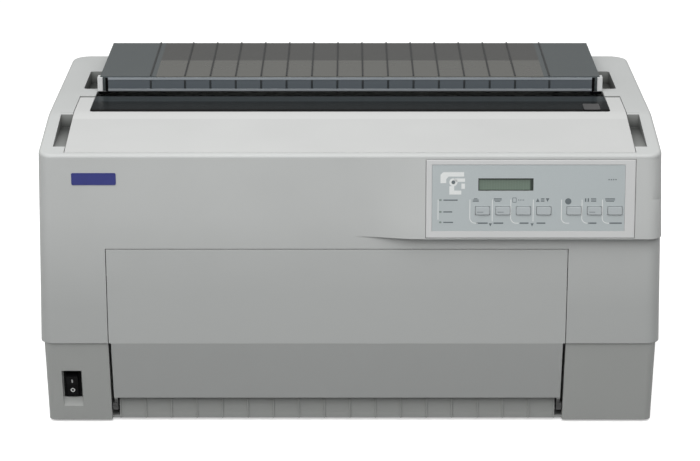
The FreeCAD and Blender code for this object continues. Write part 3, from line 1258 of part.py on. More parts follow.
def head_rail():
    """The bar that the carriage's rear foot runs over."""
    high = CARRIAGE_BOTTOM - RAIL_GAP
    return block(-FRAME_INNER_X, FRAME_INNER_X, CARRIAGE_REAR_Y - RAIL_WIDTH, CARRIAGE_REAR_Y,
                 CROSS_PLATE_TOP, high)


def carriage():
    """The slide on the rod, with a fork that takes the belt."""
    half = CARRIAGE_HALF_WIDTH
    body = block(-half, half, CARRIAGE_FRONT_Y, CARRIAGE_REAR_Y, CARRIAGE_BOTTOM, CARRIAGE_TOP)
    low = CROSS_PLATE_TOP + EASE
    belt_y = CARRIAGE_PULLEY_Y + CARRIAGE_PULLEY_RADIUS + BELT_CLEARANCE
    fork = block(-CLAMP_HALF_WIDTH, CLAMP_HALF_WIDTH, belt_y - WALL, CARRIAGE_FRONT_Y, low,
                 carriage_belt_low() + CARRIAGE_BELT_WIDTH + WALL)
    join = block(-CLAMP_HALF_WIDTH, CLAMP_HALF_WIDTH, CARRIAGE_FRONT_Y - EASE, CARRIAGE_FRONT_Y + WALL,
                 low, CARRIAGE_TOP)
    gap = block(-CASE_WIDTH, CASE_WIDTH, belt_y - BELT_CLEARANCE, belt_y + BELT_THICK + BELT_CLEARANCE,
                low - OVERRUN, carriage_belt_low() + CARRIAGE_BELT_WIDTH + BELT_CLEARANCE)
    bore = rod_x(ROD_RADIUS + RUNNING_GAP, -CASE_WIDTH, CASE_WIDTH, ROD_Y, ROD_Z)
    return fuse([body, fork, join]).cut([gap, bore])


def print_head():
    """The head on the carriage: a finned body with a nose that ends just short of the ribbon."""
    half = HEAD_HALF_WIDTH
    base_top = CARRIAGE_TOP + HEAD_BASE
    pieces = [block(-half, half, HEAD_FRONT_Y, HEAD_REAR_Y, CARRIAGE_TOP, base_top)]
    core = HEAD_CORE_INSET
    pieces.append(block(-half + core, half - core, HEAD_FRONT_Y + core, HEAD_REAR_Y - core, base_top,
                        HEAD_TOP))
    pitch = (HEAD_TOP - base_top - HEAD_FIN_THICK) / HEAD_FIN_COUNT
    for i in range(1, HEAD_FIN_COUNT + 1):
        z = base_top + i * pitch
        pieces.append(block(-half, half, HEAD_FRONT_Y, HEAD_REAR_Y - core, z, z + HEAD_FIN_THICK))
    outline = [(-half + core, HEAD_REAR_Y - core), (half - core, HEAD_REAR_Y - core)]
    outline += [(NOSE_HALF_WIDTH, NOSE_TIP_Y), (-NOSE_HALF_WIDTH, NOSE_TIP_Y)]
    pieces.append(prism_z(outline, PLATEN_Z - NOSE_HALF_HEIGHT, PLATEN_Z + NOSE_HALF_HEIGHT))
    return fuse(pieces)


def pulley_height():
    return 2 * PULLEY_FLANGE_THICK + 2 * BELT_SIDE_GAP + CARRIAGE_BELT_WIDTH


def carriage_belt_low():
    return CROSS_PLATE_TOP + CARRIAGE_PULLEY_LIFT + PULLEY_FLANGE_THICK + BELT_SIDE_GAP


def carriage_pulley(x, bore):
    """A flanged pulley of the carriage belt, standing at x with the given bore."""
    low = CROSS_PLATE_TOP + CARRIAGE_PULLEY_LIFT
    high = low + pulley_height()
    rim = CARRIAGE_PULLEY_RADIUS + PULLEY_FLANGE
    y = CARRIAGE_PULLEY_Y
    pieces = [rod_z(CARRIAGE_PULLEY_RADIUS, low, high, x, y), rod_z(rim, low, low + PULLEY_FLANGE_THICK, x,
                                                                    y)]
    pieces.append(rod_z(rim, high - PULLEY_FLANGE_THICK, high, x, y))
    return fuse(pieces).cut(rod_z(bore, low - OVERRUN, high + OVERRUN, x, y))


def drive_pulley():
    """The carriage motor's pulley, with the motor's shaft in it."""
    low = CROSS_PLATE_Z
    high = CROSS_PLATE_TOP + CARRIAGE_PULLEY_LIFT + pulley_height()
    shaft = rod_z(MOTOR_SHAFT_RADIUS, low, high, CARRIAGE_PULLEY_X, CARRIAGE_PULLEY_Y)
    return fuse([carriage_pulley(CARRIAGE_PULLEY_X, MOTOR_SHAFT_RADIUS), shaft])


def idler_pulley():
    return carriage_pulley(-CARRIAGE_PULLEY_X, IDLER_PIN_RADIUS + RUNNING_GAP)


def stadium_z(radius, z0, z1):
    """A solid round both carriage pulleys, to a given radius."""
    x, y = CARRIAGE_PULLEY_X, CARRIAGE_PULLEY_Y
    middle = block(-x, x, y - radius, y + radius, z0, z1)
    return fuse([middle, rod_z(radius, z0, z1, x, y), rod_z(radius, z0, z1, -x, y)])


def carriage_belt():
    """The toothed belt of the carriage, as a plain loop."""
    inner = CARRIAGE_PULLEY_RADIUS + BELT_CLEARANCE
    low = carriage_belt_low()
    return stadium_z(inner + BELT_THICK, low, low + CARRIAGE_BELT_WIDTH).cut(
        stadium_z(inner, low - OVERRUN, low + CARRIAGE_BELT_WIDTH + OVERRUN))


def drive_motors():
    """The carriage motor under the cross plate and the paper motor on the right frame."""
    y = CARRIAGE_PULLEY_Y
    upright = rod_z(MOTOR_RADIUS, CROSS_PLATE_Z - MOTOR_LENGTH, CROSS_PLATE_Z, CARRIAGE_PULLEY_X, y)
    lying = rod_x(MOTOR_RADIUS, FRAME_INNER_X - MOTOR_LENGTH, FRAME_INNER_X, PINION_Y, PINION_Z)
    return Part.makeCompound([upright, lying])


def platen():
    """The rubber roller on its steel shaft."""
    shaft = rod_x(PLATEN_SHAFT_RADIUS, -FRAME_OUTER_X - BUSH_FLANGE, platen_gear_end(), PLATEN_Y, PLATEN_Z)
    roller = rod_x(PLATEN_RADIUS, -PLATEN_HALF_LENGTH, PLATEN_HALF_LENGTH, PLATEN_Y, PLATEN_Z)
    return fuse([roller, shaft])


def platen_bushes():
    """Flanged bushes of the platen shaft in both frames."""
    outer = PLATEN_SHAFT_RADIUS + BUSH_WALL
    sleeve = rod_x(outer, FRAME_INNER_X, FRAME_OUTER_X, PLATEN_Y, PLATEN_Z)
    flange = rod_x(outer + BUSH_FLANGE, FRAME_INNER_X - BUSH_FLANGE, FRAME_INNER_X, PLATEN_Y, PLATEN_Z)
    bore = rod_x(PLATEN_SHAFT_RADIUS + RUNNING_GAP, 0, CASE_WIDTH, PLATEN_Y, PLATEN_Z)
    bush = fuse([sleeve, flange]).cut(bore)
    return Part.makeCompound([bush, mirrored(bush)])


def gear(teeth, module, x0, x1, y, z, turn):
    """A straight-toothed gear along X with trapezoid teeth, turned by an angle in degrees."""
    pitch_radius = module * teeth / 2
    tip = pitch_radius + module * ADDENDUM_SHARE
    root = pitch_radius - module * DEDENDUM_SHARE
    slope = math.tan(math.radians(PRESSURE_ANGLE))
    half_pitch = module * math.pi / 4 - module * BACKLASH_SHARE
    points = []
    for i in range(teeth):
        middle = 2 * math.pi * i / teeth + math.radians(turn)
        sides = [(root, half_pitch + (pitch_radius - root) * slope),
                 (tip, half_pitch - (tip - pitch_radius) * slope)]
        for radius, half in sides:
            points.append((radius, middle - half / radius))
        for radius, half in reversed(sides):
            points.append((radius, middle + half / radius))
    outline = [(y + radius * math.cos(angle), z + radius * math.sin(angle)) for radius, angle in points]
    return prism_x(outline, x0, x1)


def feed_pulley(y, z):
    """The flanged belt pulley of the feed drive, at a shaft."""
    x0 = FEED_PULLEY_X
    x1 = x0 + 2 * PULLEY_FLANGE_THICK + 2 * BELT_SIDE_GAP + FEED_BELT_WIDTH
    rim = PULLEY_RADIUS + PULLEY_FLANGE
    pieces = [rod_x(PULLEY_RADIUS, x0, x1, y, z), rod_x(rim, x0, x0 + PULLEY_FLANGE_THICK, y, z)]
    pieces.append(rod_x(rim, x1 - PULLEY_FLANGE_THICK, x1, y, z))
    return pieces


def platen_gear_end():
    """Where the feed drive ends on the right."""
    return FEED_PULLEY_X + 2 * PULLEY_FLANGE_THICK + 2 * BELT_SIDE_GAP + FEED_BELT_WIDTH


def platen_gear():
    """The platen's gear and belt pulley, one moulding."""
    wheel = gear(PLATEN_GEAR_TEETH, GEAR_MODULE, GEAR_LEFT_X, GEAR_LEFT_X + GEAR_WIDTH, PLATEN_Y, PLATEN_Z,
                 PINION_DIRECTION)
    hub = rod_x(PULLEY_RADIUS, GEAR_LEFT_X, FEED_PULLEY_X + EASE, PLATEN_Y, PLATEN_Z)
    whole = fuse([wheel, hub] + feed_pulley(PLATEN_Y, PLATEN_Z))
    return whole.cut(rod_x(PLATEN_SHAFT_RADIUS, 0, CASE_WIDTH, PLATEN_Y, PLATEN_Z))


def motor_pinion():
    """The paper motor's shaft and pinion, one piece, in mesh with the platen's gear."""
    half_tooth = HALF_TURN / PINION_TEETH
    turn = PINION_DIRECTION + HALF_TURN + half_tooth
    wheel = gear(PINION_TEETH, GEAR_MODULE, GEAR_LEFT_X, GEAR_LEFT_X + GEAR_WIDTH, PINION_Y, PINION_Z, turn)
    shaft = rod_x(MOTOR_SHAFT_RADIUS, FRAME_INNER_X, GEAR_LEFT_X + GEAR_WIDTH, PINION_Y, PINION_Z)
    return fuse([wheel, shaft])


def belt_loop(radius, x0, x1):
    """A solid round both feed pulleys, to a given radius."""
    run_y, run_z = PLATEN_Y - TRACTOR_Y, PLATEN_Z - TRACTOR_Z
    length = math.hypot(run_y, run_z)
    out_y, out_z = -run_z / length * radius, run_y / length * radius
    corners = [(TRACTOR_Y + out_y, TRACTOR_Z + out_z), (PLATEN_Y + out_y, PLATEN_Z + out_z)]
    corners += [(PLATEN_Y - out_y, PLATEN_Z - out_z), (TRACTOR_Y - out_y, TRACTOR_Z - out_z)]
    rounds = [rod_x(radius, x0, x1, PLATEN_Y, PLATEN_Z), rod_x(radius, x0, x1, TRACTOR_Y, TRACTOR_Z)]
    return fuse([prism_x(corners, x0, x1)] + rounds)


def feed_belt():
    """The belt from the platen to the tractor shaft, as a plain loop."""
    x0 = FEED_PULLEY_X + PULLEY_FLANGE_THICK + BELT_SIDE_GAP
    x1 = x0 + FEED_BELT_WIDTH
    inner = PULLEY_RADIUS + BELT_CLEARANCE
    return belt_loop(inner + BELT_THICK, x0, x1).cut(belt_loop(inner, x0 - OVERRUN, x1 + OVERRUN))


def tractor_shaft():
    """The square shaft with round journals, and its pulley on the right end."""
    half = DRIVE_SHAFT_SIDE / 2
    shoulder = FRAME_INNER_X - JOURNAL_SHOULDER
    pieces = [block(-shoulder, shoulder, TRACTOR_Y - half, TRACTOR_Y + half, TRACTOR_Z - half,
                    TRACTOR_Z + half)]
    pieces.append(rod_x(JOURNAL_RADIUS, -FRAME_OUTER_X, platen_gear_end(), TRACTOR_Y, TRACTOR_Z))
    return fuse(pieces + feed_pulley(TRACTOR_Y, TRACTOR_Z))


def tractor_rod():
    return rod_x(SUPPORT_ROD_RADIUS, -FRAME_OUTER_X, FRAME_OUTER_X, TRACTOR_Y, tractor_top())


def stadium_x(radius, x0, x1):
    """A solid round a tractor's sprocket and top nose, to a given radius."""
    middle = block(x0, x1, TRACTOR_Y - radius, TRACTOR_Y + radius, TRACTOR_Z, tractor_top())
    return fuse([middle, rod_x(radius, x0, x1, TRACTOR_Y, TRACTOR_Z),
                 rod_x(radius, x0, x1, TRACTOR_Y, tractor_top())])


def flap_axis(x, side):
    """Where a tractor's flap hinges: its x and y."""
    out = TRACTOR_WIDTH / 2 + FLAP_HINGE_RADIUS + SPROCKET_SIDE_GAP
    return x + side * out, TRACTOR_Y - TRACTOR_RADIUS + EASE


def flap_span():
    """Lowest and highest z of a flap's hinge."""
    return TRACTOR_Z - FLAP_EAR_LENGTH, tractor_top() + FLAP_EAR_LENGTH


def tractor_body(x, side):
    """Two side plates with a web between them, and the ears of the flap."""
    half = TRACTOR_WIDTH / 2
    inner = SPROCKET_WIDTH / 2 + SPROCKET_SIDE_GAP + BELT_SIDE_GAP
    pieces = [stadium_x(TRACTOR_RADIUS, x - half, x - inner), stadium_x(TRACTOR_RADIUS, x + inner, x + half)]
    nose = SPROCKET_RADIUS
    pieces.append(rod_x(nose, x - inner, x + inner, TRACTOR_Y, tractor_top()))
    low = TRACTOR_Z + SPROCKET_RADIUS + EASE
    web = nose / 2
    pieces.append(block(x - inner, x + inner, TRACTOR_Y - web, TRACTOR_Y + web, low, tractor_top()))
    ear_x, ear_y = flap_axis(x, side)
    bottom, top = flap_span()
    for z in (bottom, top - FLAP_EAR_LENGTH):
        ends = sorted((x + side * (half - EASE), ear_x))
        pieces.append(block(ends[0], ends[1], ear_y - FLAP_HINGE_RADIUS, ear_y + FLAP_HINGE_RADIUS, z,
                            z + FLAP_EAR_LENGTH))
        pieces.append(rod_z(FLAP_HINGE_RADIUS, z, z + FLAP_EAR_LENGTH, ear_x, ear_y))
    reach = DRIVE_SHAFT_SIDE * math.sqrt(0.5) + SHAFT_HOLE_GAP
    cuts = [rod_x(reach, x - CASE_WIDTH, x + CASE_WIDTH, TRACTOR_Y, TRACTOR_Z)]
    cuts.append(rod_x(SUPPORT_ROD_RADIUS + RUNNING_GAP, x - CASE_WIDTH, x + CASE_WIDTH, TRACTOR_Y,
                      tractor_top()))
    cuts.append(rod_z(FLAP_PIN_RADIUS + RUNNING_GAP, bottom - OVERRUN, top + OVERRUN, ear_x, ear_y))
    return fuse(pieces).cut(cuts)


def sprocket(x):
    """The drive sprocket on the square shaft."""
    half = SPROCKET_WIDTH / 2
    bore = DRIVE_SHAFT_SIDE / 2 + SPROCKET_BORE_GAP
    wheel = rod_x(SPROCKET_RADIUS, x - half, x + half, TRACTOR_Y, TRACTOR_Z)
    return wheel.cut(block(x - CASE_WIDTH, x + CASE_WIDTH, TRACTOR_Y - bore, TRACTOR_Y + bore,
                           TRACTOR_Z - bore, TRACTOR_Z + bore))


def pin_belt(x):
    """The belt whose pins take the paper's holes."""
    half = SPROCKET_WIDTH / 2
    inner = SPROCKET_RADIUS + PIN_BELT_GAP
    belt = stadium_x(TRACTOR_RADIUS, x - half, x + half).cut(stadium_x(inner, x - CASE_WIDTH,
                                                                       x + CASE_WIDTH))
    first = (TRACTOR_Z + tractor_top() - (PIN_COUNT - 1) * PIN_PITCH) / 2
    front = TRACTOR_Y - TRACTOR_RADIUS
    pins = [rod_y(PIN_RADIUS, front - PIN_HEIGHT, front + PIN_BELT_GAP, x,
                  first + i * PIN_PITCH) for i in range(PIN_COUNT)]
    return fuse([belt] + pins)


def tractor_flap(x, side):
    """The flap that holds the paper down on the pins, slotted for them."""
    half = TRACTOR_WIDTH / 2
    back = TRACTOR_Y - TRACTOR_RADIUS - FLAP_RISE
    bottom, top = flap_span()
    low, high = bottom + FLAP_EAR_LENGTH + BELT_CLEARANCE, top - FLAP_EAR_LENGTH - BELT_CLEARANCE
    ear_x, ear_y = flap_axis(x, side)
    ends = sorted((x - side * half, ear_x))
    plate = block(ends[0], ends[1], back - FLAP_THICK, back, low, high)
    slot = FLAP_SLOT_WIDTH / 2
    plate = plate.cut(block(x - slot, x + slot, back - OVERRUN, back + OVERRUN, low + OVERRUN,
                            high - OVERRUN))
    knuckle = rod_z(FLAP_HINGE_RADIUS, low, high, ear_x, ear_y)
    arm_ends = sorted((ear_x - side * FLAP_HINGE_RADIUS, ear_x))
    arm = block(arm_ends[0], arm_ends[1], back - FLAP_THICK, ear_y, low, high)
    pin = rod_z(FLAP_PIN_RADIUS, bottom, top, ear_x, ear_y)
    return fuse([plate, knuckle, arm, pin])


def ribbon_cartridge():
    """The ribbon's hollow box, with an arm at each end that leads the ribbon to the platen."""
    half = RIBBON_HALF_LENGTH
    box = block(-half, half, RIBBON_FRONT_Y, RIBBON_REAR_Y, RIBBON_BOTTOM, RIBBON_TOP)
    box = rounded(box, RIBBON_EDGE_RADIUS, is_vertical)
    arm_low = RIBBON_TOP - RIBBON_ARM_HEIGHT
    wall = RIBBON_WALL
    hollow = block(-half + wall, half - wall, RIBBON_FRONT_Y + wall, RIBBON_REAR_Y - wall,
                   RIBBON_BOTTOM + wall, RIBBON_TOP - wall)
    tip = NOSE_TIP_Y - NOSE_HALF_WIDTH / 2
    arm = block(half - RIBBON_ARM_WIDTH, half, RIBBON_REAR_Y - wall, tip, arm_low, RIBBON_TOP)
    return fuse([box, arm, mirrored(arm)]).cut(hollow)


def ink_ribbon():
    """The inked band between the arms, just ahead of the platen."""
    half = RIBBON_HALF_LENGTH - RIBBON_ARM_WIDTH
    y = NOSE_TIP_Y + INK_GAP
    low = RIBBON_TOP - (RIBBON_ARM_HEIGHT + INK_HEIGHT) / 2
    band = block(-half, half, y, y + INK_THICK, low, low + INK_HEIGHT)
    tail = block(half - INK_THICK, half, y - RIBBON_ARM_WIDTH, y + INK_THICK, low, low + INK_HEIGHT)
    return fuse([band, tail, mirrored(tail)])


def paper_chute():
    """The bent plate behind the tractors and the flat one behind the platen."""
    thick = CHUTE_THICK
    profile = [(CHUTE_LOW_Y, CHUTE_LOW_Z), (CHUTE_BEND_Y, CHUTE_BEND_Z), (CHUTE_TOP_Y, CHUTE_TOP_Z)]
    profile += [(y + thick, z) for y, z in reversed(profile)]
    bent = prism_x(profile, -FRAME_INNER_X, FRAME_INNER_X)
    flat = block(-FRAME_INNER_X, FRAME_INNER_X, EXIT_PLATE_Y, EXIT_PLATE_Y + EXIT_PLATE_THICK,
                 EXIT_PLATE_BOTTOM,
                 COVER_HINGE_Z)
    return Part.makeCompound([bent, flat])


def main_board():
    """The main circuit board with its chips, heat sink and capacitors."""
    x0, x1 = BOARD_LEFT, BOARD_LEFT + BOARD_LENGTH
    y1 = REAR_Y - BOARD_REAR_INSET
    y0 = y1 - BOARD_DEPTH
    top = BOARD_Z + BOARD_THICK
    pieces = [block(x0, x1, y0, y1, BOARD_Z, top)]
    step = CHIP_SIZE + BOARD_POST_INSET
    for i in range(CAPACITOR_COUNT):
        x = x0 + step + i * step
        pieces.append(block(x - CHIP_SIZE / 2, x + CHIP_SIZE / 2, y0 + step, y0 + step + CHIP_SIZE, top,
                            top + CHIP_HEIGHT))
        pieces.append(rod_z(CAPACITOR_RADIUS, top, top + CAPACITOR_HEIGHT, x1 - step, y0 + step + i * step))
    sink_x = x0 + step
    sink_y = y1 - SINK_DEPTH - step / 2
    pieces.append(block(sink_x, sink_x + SINK_LENGTH, sink_y, sink_y + SINK_DEPTH, top, top + SINK_BASE))
    pitch = (SINK_LENGTH - SINK_FIN_THICK) / (SINK_FIN_COUNT - 1)
    for i in range(SINK_FIN_COUNT):
        x = sink_x + i * pitch
        pieces.append(block(x, x + SINK_FIN_THICK, sink_y, sink_y + SINK_DEPTH, top, top + SINK_HEIGHT))
    return fuse(pieces)


def power_supply():
    """The mains power supply in its vented steel box."""
    x0, x1 = SUPPLY_LEFT, SUPPLY_LEFT + SUPPLY_LENGTH
    y1 = REAR_Y - SUPPLY_REAR_INSET
    y0 = y1 - SUPPLY_DEPTH
    box = block(x0, x1, y0, y1, TRAY_TOP, TRAY_TOP + SUPPLY_HEIGHT)
    pitch = (SUPPLY_LENGTH - 2 * SUPPLY_VENT_HEIGHT) / (SUPPLY_VENT_COUNT - 1)
    low = TRAY_TOP + (SUPPLY_HEIGHT - SUPPLY_VENT_HEIGHT) / 2
    vents = []
    for i in range(SUPPLY_VENT_COUNT):
        x = x0 + SUPPLY_VENT_HEIGHT + i * pitch
        vents.append(block(x, x + SUPPLY_VENT_WIDTH, y1 - SUPPLY_VENT_DEPTH, y1 + OVERRUN, low,
                           low + SUPPLY_VENT_HEIGHT))
    return box.cut(vents)


def mains_inlet():
    """The three-pin mains inlet in the rear wall of the lower case."""
    face = LOWER_REAR_Y
    half_w, half_h = INLET_WIDTH / 2, INLET_HEIGHT / 2
    body = block(INLET_X - half_w, INLET_X + half_w, face - INLET_BODY_DEPTH, face, INLET_Z - half_h,
                 INLET_Z + half_h)
    half_f = INLET_FLANGE_WIDTH / 2
    flange = block(INLET_X - half_f, INLET_X + half_f, face, face + INLET_FLANGE_THICK, INLET_Z - half_h,
                   INLET_Z + half_h)
    cavity_w, cavity_h = INLET_CAVITY_WIDTH / 2, INLET_CAVITY_HEIGHT / 2
    outline = [(-cavity_w, -cavity_h), (cavity_w, -cavity_h), (cavity_w, cavity_h - INLET_CHAMFER)]
    outline += [(cavity_w - INLET_CHAMFER, cavity_h), (-cavity_w + INLET_CHAMFER, cavity_h)]
    outline.append((-cavity_w, cavity_h - INLET_CHAMFER))
    floor_y = face - INLET_CAVITY_DEPTH
    corners = [Vector(INLET_X + x, floor_y, INLET_Z + z) for x, z in outline]
    depth = Vector(0, INLET_CAVITY_DEPTH + OVERRUN, 0)
    cavity = Part.Face(Part.makePolygon(corners + corners[:1])).extrude(depth)
    pins = []
    for x, z in ((-INLET_PIN_SPACING, -INLET_PIN_OFFSET), (0, INLET_PIN_OFFSET),
                 (INLET_PIN_SPACING, -INLET_PIN_OFFSET)):
        px, pz = INLET_X + x, INLET_Z + z
        pins.append(block(px - INLET_PIN_WIDTH / 2, px + INLET_PIN_WIDTH / 2, floor_y,
                          floor_y + INLET_PIN_LENGTH,
                          pz - INLET_PIN_HEIGHT / 2, pz + INLET_PIN_HEIGHT / 2))
    return fuse([fuse([body, flange]).cut(cavity)] + pins)


def port_plate():
    """The plate with the three data sockets."""
    face = LOWER_REAR_Y
    plate = block(PORT_PLATE_LEFT, PORT_PLATE_LEFT + PORT_PLATE_WIDTH, face, face + PORT_PLATE_THICK,
                  PORT_PLATE_LOW,
                  PORT_PLATE_LOW + PORT_PLATE_HEIGHT)
    shells, rooms = [plate], []
    x = PORT_PLATE_LEFT + PORT_GAP
    middle = PORT_PLATE_LOW + PORT_PLATE_HEIGHT / 2
    out = face + PORT_PLATE_THICK
    for width, height in ((PARALLEL_WIDTH, PARALLEL_HEIGHT), (SERIAL_WIDTH, SERIAL_HEIGHT),
                          (USB_SIZE, USB_SIZE)):
        low = middle - height / 2
        shells.append(block(x, x + width, out - PORT_BODY_DEPTH, out, low, low + height))
        wall = PORT_SHELL_WALL
        rooms.append(block(x + wall, x + width - wall, out - PORT_BODY_DEPTH + PORT_RECESS, out + OVERRUN,
                           low + wall,
                           low + height - wall))
        x += width + PORT_GAP
    return fuse(shells).cut(rooms)


def pieces():
    """Every piece by its name."""
    made = {
        "upper_case": upper_case(), "lower_case": lower_case(), "rear_cover": rear_cover(),
        "top_cover": top_cover(), "cover_window": cover_window(), "hinge_pins": hinge_pins(),
        "front_cover": front_cover(), "entry_strip": entry_strip(), "rubber_feet": rubber_feet(),
        "base_screws": base_screws(), "paper_guide": paper_guide(), "tear_bar": tear_bar(),
        "guide_brackets": guide_brackets(), "panel_bezel": panel_bezel(), "panel_overlay": panel_overlay(),
        "lcd_module": lcd_module(), "panel_board": panel_board(), "switch_frame": switch_frame(),
        "power_rocker": power_rocker(), "chassis_tray": chassis_tray(), "left_frame": side_frame(False),
        "right_frame": side_frame(True), "cross_plate": cross_plate(), "guide_rod": guide_rod(),
        "head_rail": head_rail(), "carriage": carriage(), "print_head": print_head(),
        "drive_pulley": drive_pulley(), "idler_pulley": idler_pulley(), "carriage_belt": carriage_belt(),
        "drive_motors": drive_motors(), "platen": platen(), "platen_bushes": platen_bushes(),
        "platen_gear": platen_gear(), "motor_pinion": motor_pinion(), "feed_belt": feed_belt(),
        "tractor_shaft": tractor_shaft(), "tractor_rod": tractor_rod(),
        "ribbon_cartridge": ribbon_cartridge(), "ink_ribbon": ink_ribbon(), "paper_chute": paper_chute(),
        "main_board": main_board(), "power_supply": power_supply(), "mains_inlet": mains_inlet(),
        "port_plate": port_plate(),
    }
    for i, name in enumerate(KEY_NAMES):
        made["key_" + name] = panel_key(i)
    for name, side in (("left", -1), ("right", 1)):
        x = side * TRACTOR_REST_X
        made["tractor_" + name] = tractor_body(x, side)
        made["sprocket_" + name] = sprocket(x)
        made["pin_belt_" + name] = pin_belt(x)
        made["flap_" + name] = tractor_flap(x, side)
    return made


def main():
    os.makedirs("parts", exist_ok=True)
    for name, shape in pieces().items():
        if not shape.isValid():
            print("not valid:", name)
        shape.exportStep(os.path.join("parts", name + ".step"))
        box = shape.BoundBox
        print(f"{name:18} {len(shape.Solids):3} solids  {shape.Volume / 1000:9.2f} cm3  "
              f"x {box.XMin:7.1f} {box.XMax:7.1f}  y {box.YMin:7.1f} {box.YMax:7.1f}  "
              f"z {box.ZMin:6.1f} {box.ZMax:6.1f}")


main()
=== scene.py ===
# %% [markdown]
# # A wide dot matrix printer on a pale studio floor
#
# The printer is a grey office machine for wide paper. Its casing is moulded plastic, its paper guide is smoked
# plastic, and its mechanism is plated steel, rubber and nylon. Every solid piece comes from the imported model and
# stays where it is. This lesson places the camera, gives each piece its finish, adds the thin printed and pressed
# details, and then lays the floor and hangs the light.

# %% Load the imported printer
import json
import math

import bmesh
import bpy
from mathutils import Matrix, Vector

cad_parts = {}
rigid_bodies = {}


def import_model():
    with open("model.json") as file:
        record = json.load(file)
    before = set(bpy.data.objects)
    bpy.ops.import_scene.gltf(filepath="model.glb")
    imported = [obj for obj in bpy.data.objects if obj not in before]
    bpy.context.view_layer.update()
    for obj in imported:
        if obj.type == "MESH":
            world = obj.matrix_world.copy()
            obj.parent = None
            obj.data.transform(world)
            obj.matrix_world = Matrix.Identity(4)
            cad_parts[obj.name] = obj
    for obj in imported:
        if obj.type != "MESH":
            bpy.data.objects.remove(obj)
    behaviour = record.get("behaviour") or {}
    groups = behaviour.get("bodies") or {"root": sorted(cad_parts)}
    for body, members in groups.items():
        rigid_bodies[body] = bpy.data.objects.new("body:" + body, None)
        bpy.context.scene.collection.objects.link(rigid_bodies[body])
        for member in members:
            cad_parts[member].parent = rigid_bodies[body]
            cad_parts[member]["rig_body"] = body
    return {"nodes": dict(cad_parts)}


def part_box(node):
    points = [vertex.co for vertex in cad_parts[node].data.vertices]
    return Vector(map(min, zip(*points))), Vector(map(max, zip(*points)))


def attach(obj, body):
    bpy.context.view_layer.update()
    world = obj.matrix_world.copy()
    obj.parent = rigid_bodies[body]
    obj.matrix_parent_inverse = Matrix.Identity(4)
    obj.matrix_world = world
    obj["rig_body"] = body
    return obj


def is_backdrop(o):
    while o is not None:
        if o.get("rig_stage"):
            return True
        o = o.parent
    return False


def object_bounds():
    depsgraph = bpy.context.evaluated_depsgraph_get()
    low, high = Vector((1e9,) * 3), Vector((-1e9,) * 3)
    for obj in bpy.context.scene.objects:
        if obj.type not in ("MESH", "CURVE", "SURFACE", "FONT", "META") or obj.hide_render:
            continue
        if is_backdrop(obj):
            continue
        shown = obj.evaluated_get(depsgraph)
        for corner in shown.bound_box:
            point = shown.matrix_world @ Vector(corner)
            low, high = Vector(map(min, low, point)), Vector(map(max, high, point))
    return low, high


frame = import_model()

MM = 0.001
nodes = frame["nodes"]
cad_low, cad_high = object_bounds()
print("pieces from the model:", len(nodes))
print("their box in metres:", [round(v, 4) for v in (*cad_low, *cad_high)])

# %% [markdown]
# ## The camera
#
# The picture was taken from the front, a little above the printer, with a long lens: the front edges hardly
# converge. A camera could be placed by eye, but its height and lens decide how deep the top looks, so they are
# worked out here from a pitch, a distance and a focal length in pixels, and the point that it looks at lies on
# the printer's front.

# %% Place the camera
IMAGE_WIDTH_PIXELS = 700
FOCAL_LENGTH_PIXELS = 2400
SENSOR_WIDTH_MM = 36.0
CAMERA_PITCH = math.radians(18)
CAMERA_DISTANCE = 2713 * MM
CAMERA_AIM = Vector((0, -189, 242.85)) * MM

camera_data = bpy.data.cameras.new("studio_camera")
camera_data.sensor_width = SENSOR_WIDTH_MM
camera_data.lens = SENSOR_WIDTH_MM * FOCAL_LENGTH_PIXELS / IMAGE_WIDTH_PIXELS
camera = bpy.data.objects.new("studio_camera", camera_data)
backwards = Vector((0, -math.cos(CAMERA_PITCH), math.sin(CAMERA_PITCH)))
camera.location = CAMERA_AIM + CAMERA_DISTANCE * backwards
camera.rotation_euler = (math.radians(90) - CAMERA_PITCH, 0, 0)
bpy.context.scene.collection.objects.link(camera)
bpy.context.scene.camera = camera
print("camera at", [round(v, 3) for v in camera.location], "lens", round(camera_data.lens, 1), "mm")

# %% [markdown]
# ## Colours and nodes
#
# Colours are read off a picture as sRGB hex values, but shaders work with linear light, so one function turns
# the one into the other. A second function adds a node with its settings and links. Written out by hand, each
# node would take four or five lines, and the materials below would be hard to compare.

# %% Two helpers for materials
def linear(hex_colour):
    """An sRGB hex value as the linear colour that a shader takes."""
    parts = [int(hex_colour[i:i + 2], 16) / 255 for i in (1, 3, 5)]
    light = [p / 12.92 if p <= 0.04045 else ((p + 0.055) / 1.055) ** 2.4 for p in parts]
    return (*light, 1.0)


def add_node(tree, kind, settings=None, links=None):
    """Adds a node. A setting is a property or an input's value, and a link is an output for an input."""
    made = tree.nodes.new(kind)
    for name, value in (settings or {}).items():
        if isinstance(name, str) and hasattr(made, name):
            setattr(made, name, value)
        else:
            made.inputs[name].default_value = value
    for name, output in (links or {}).items():
        tree.links.new(output, made.inputs[name])
    return made


# In a colour Mix node these are the places of the two colours and of the result.
MIX_A, MIX_B, MIX_RESULT = 6, 7, 2


def begin_finish(name, colour, roughness, ior=1.5, metallic=0.0):
    """A material whose shader has its fixed values; its pattern is added after."""
    made = bpy.data.materials.new(name)
    made.use_nodes = True
    shader = made.node_tree.nodes["Principled BSDF"]
    shader.inputs["Base Color"].default_value = linear(colour)
    shader.inputs["Roughness"].default_value = roughness
    shader.inputs["IOR"].default_value = ior
    shader.inputs["Metallic"].default_value = metallic
    return made, made.node_tree, shader


print("white is", linear("#FFFFFF"), "and mid grey is", round(linear("#808080")[0], 3))

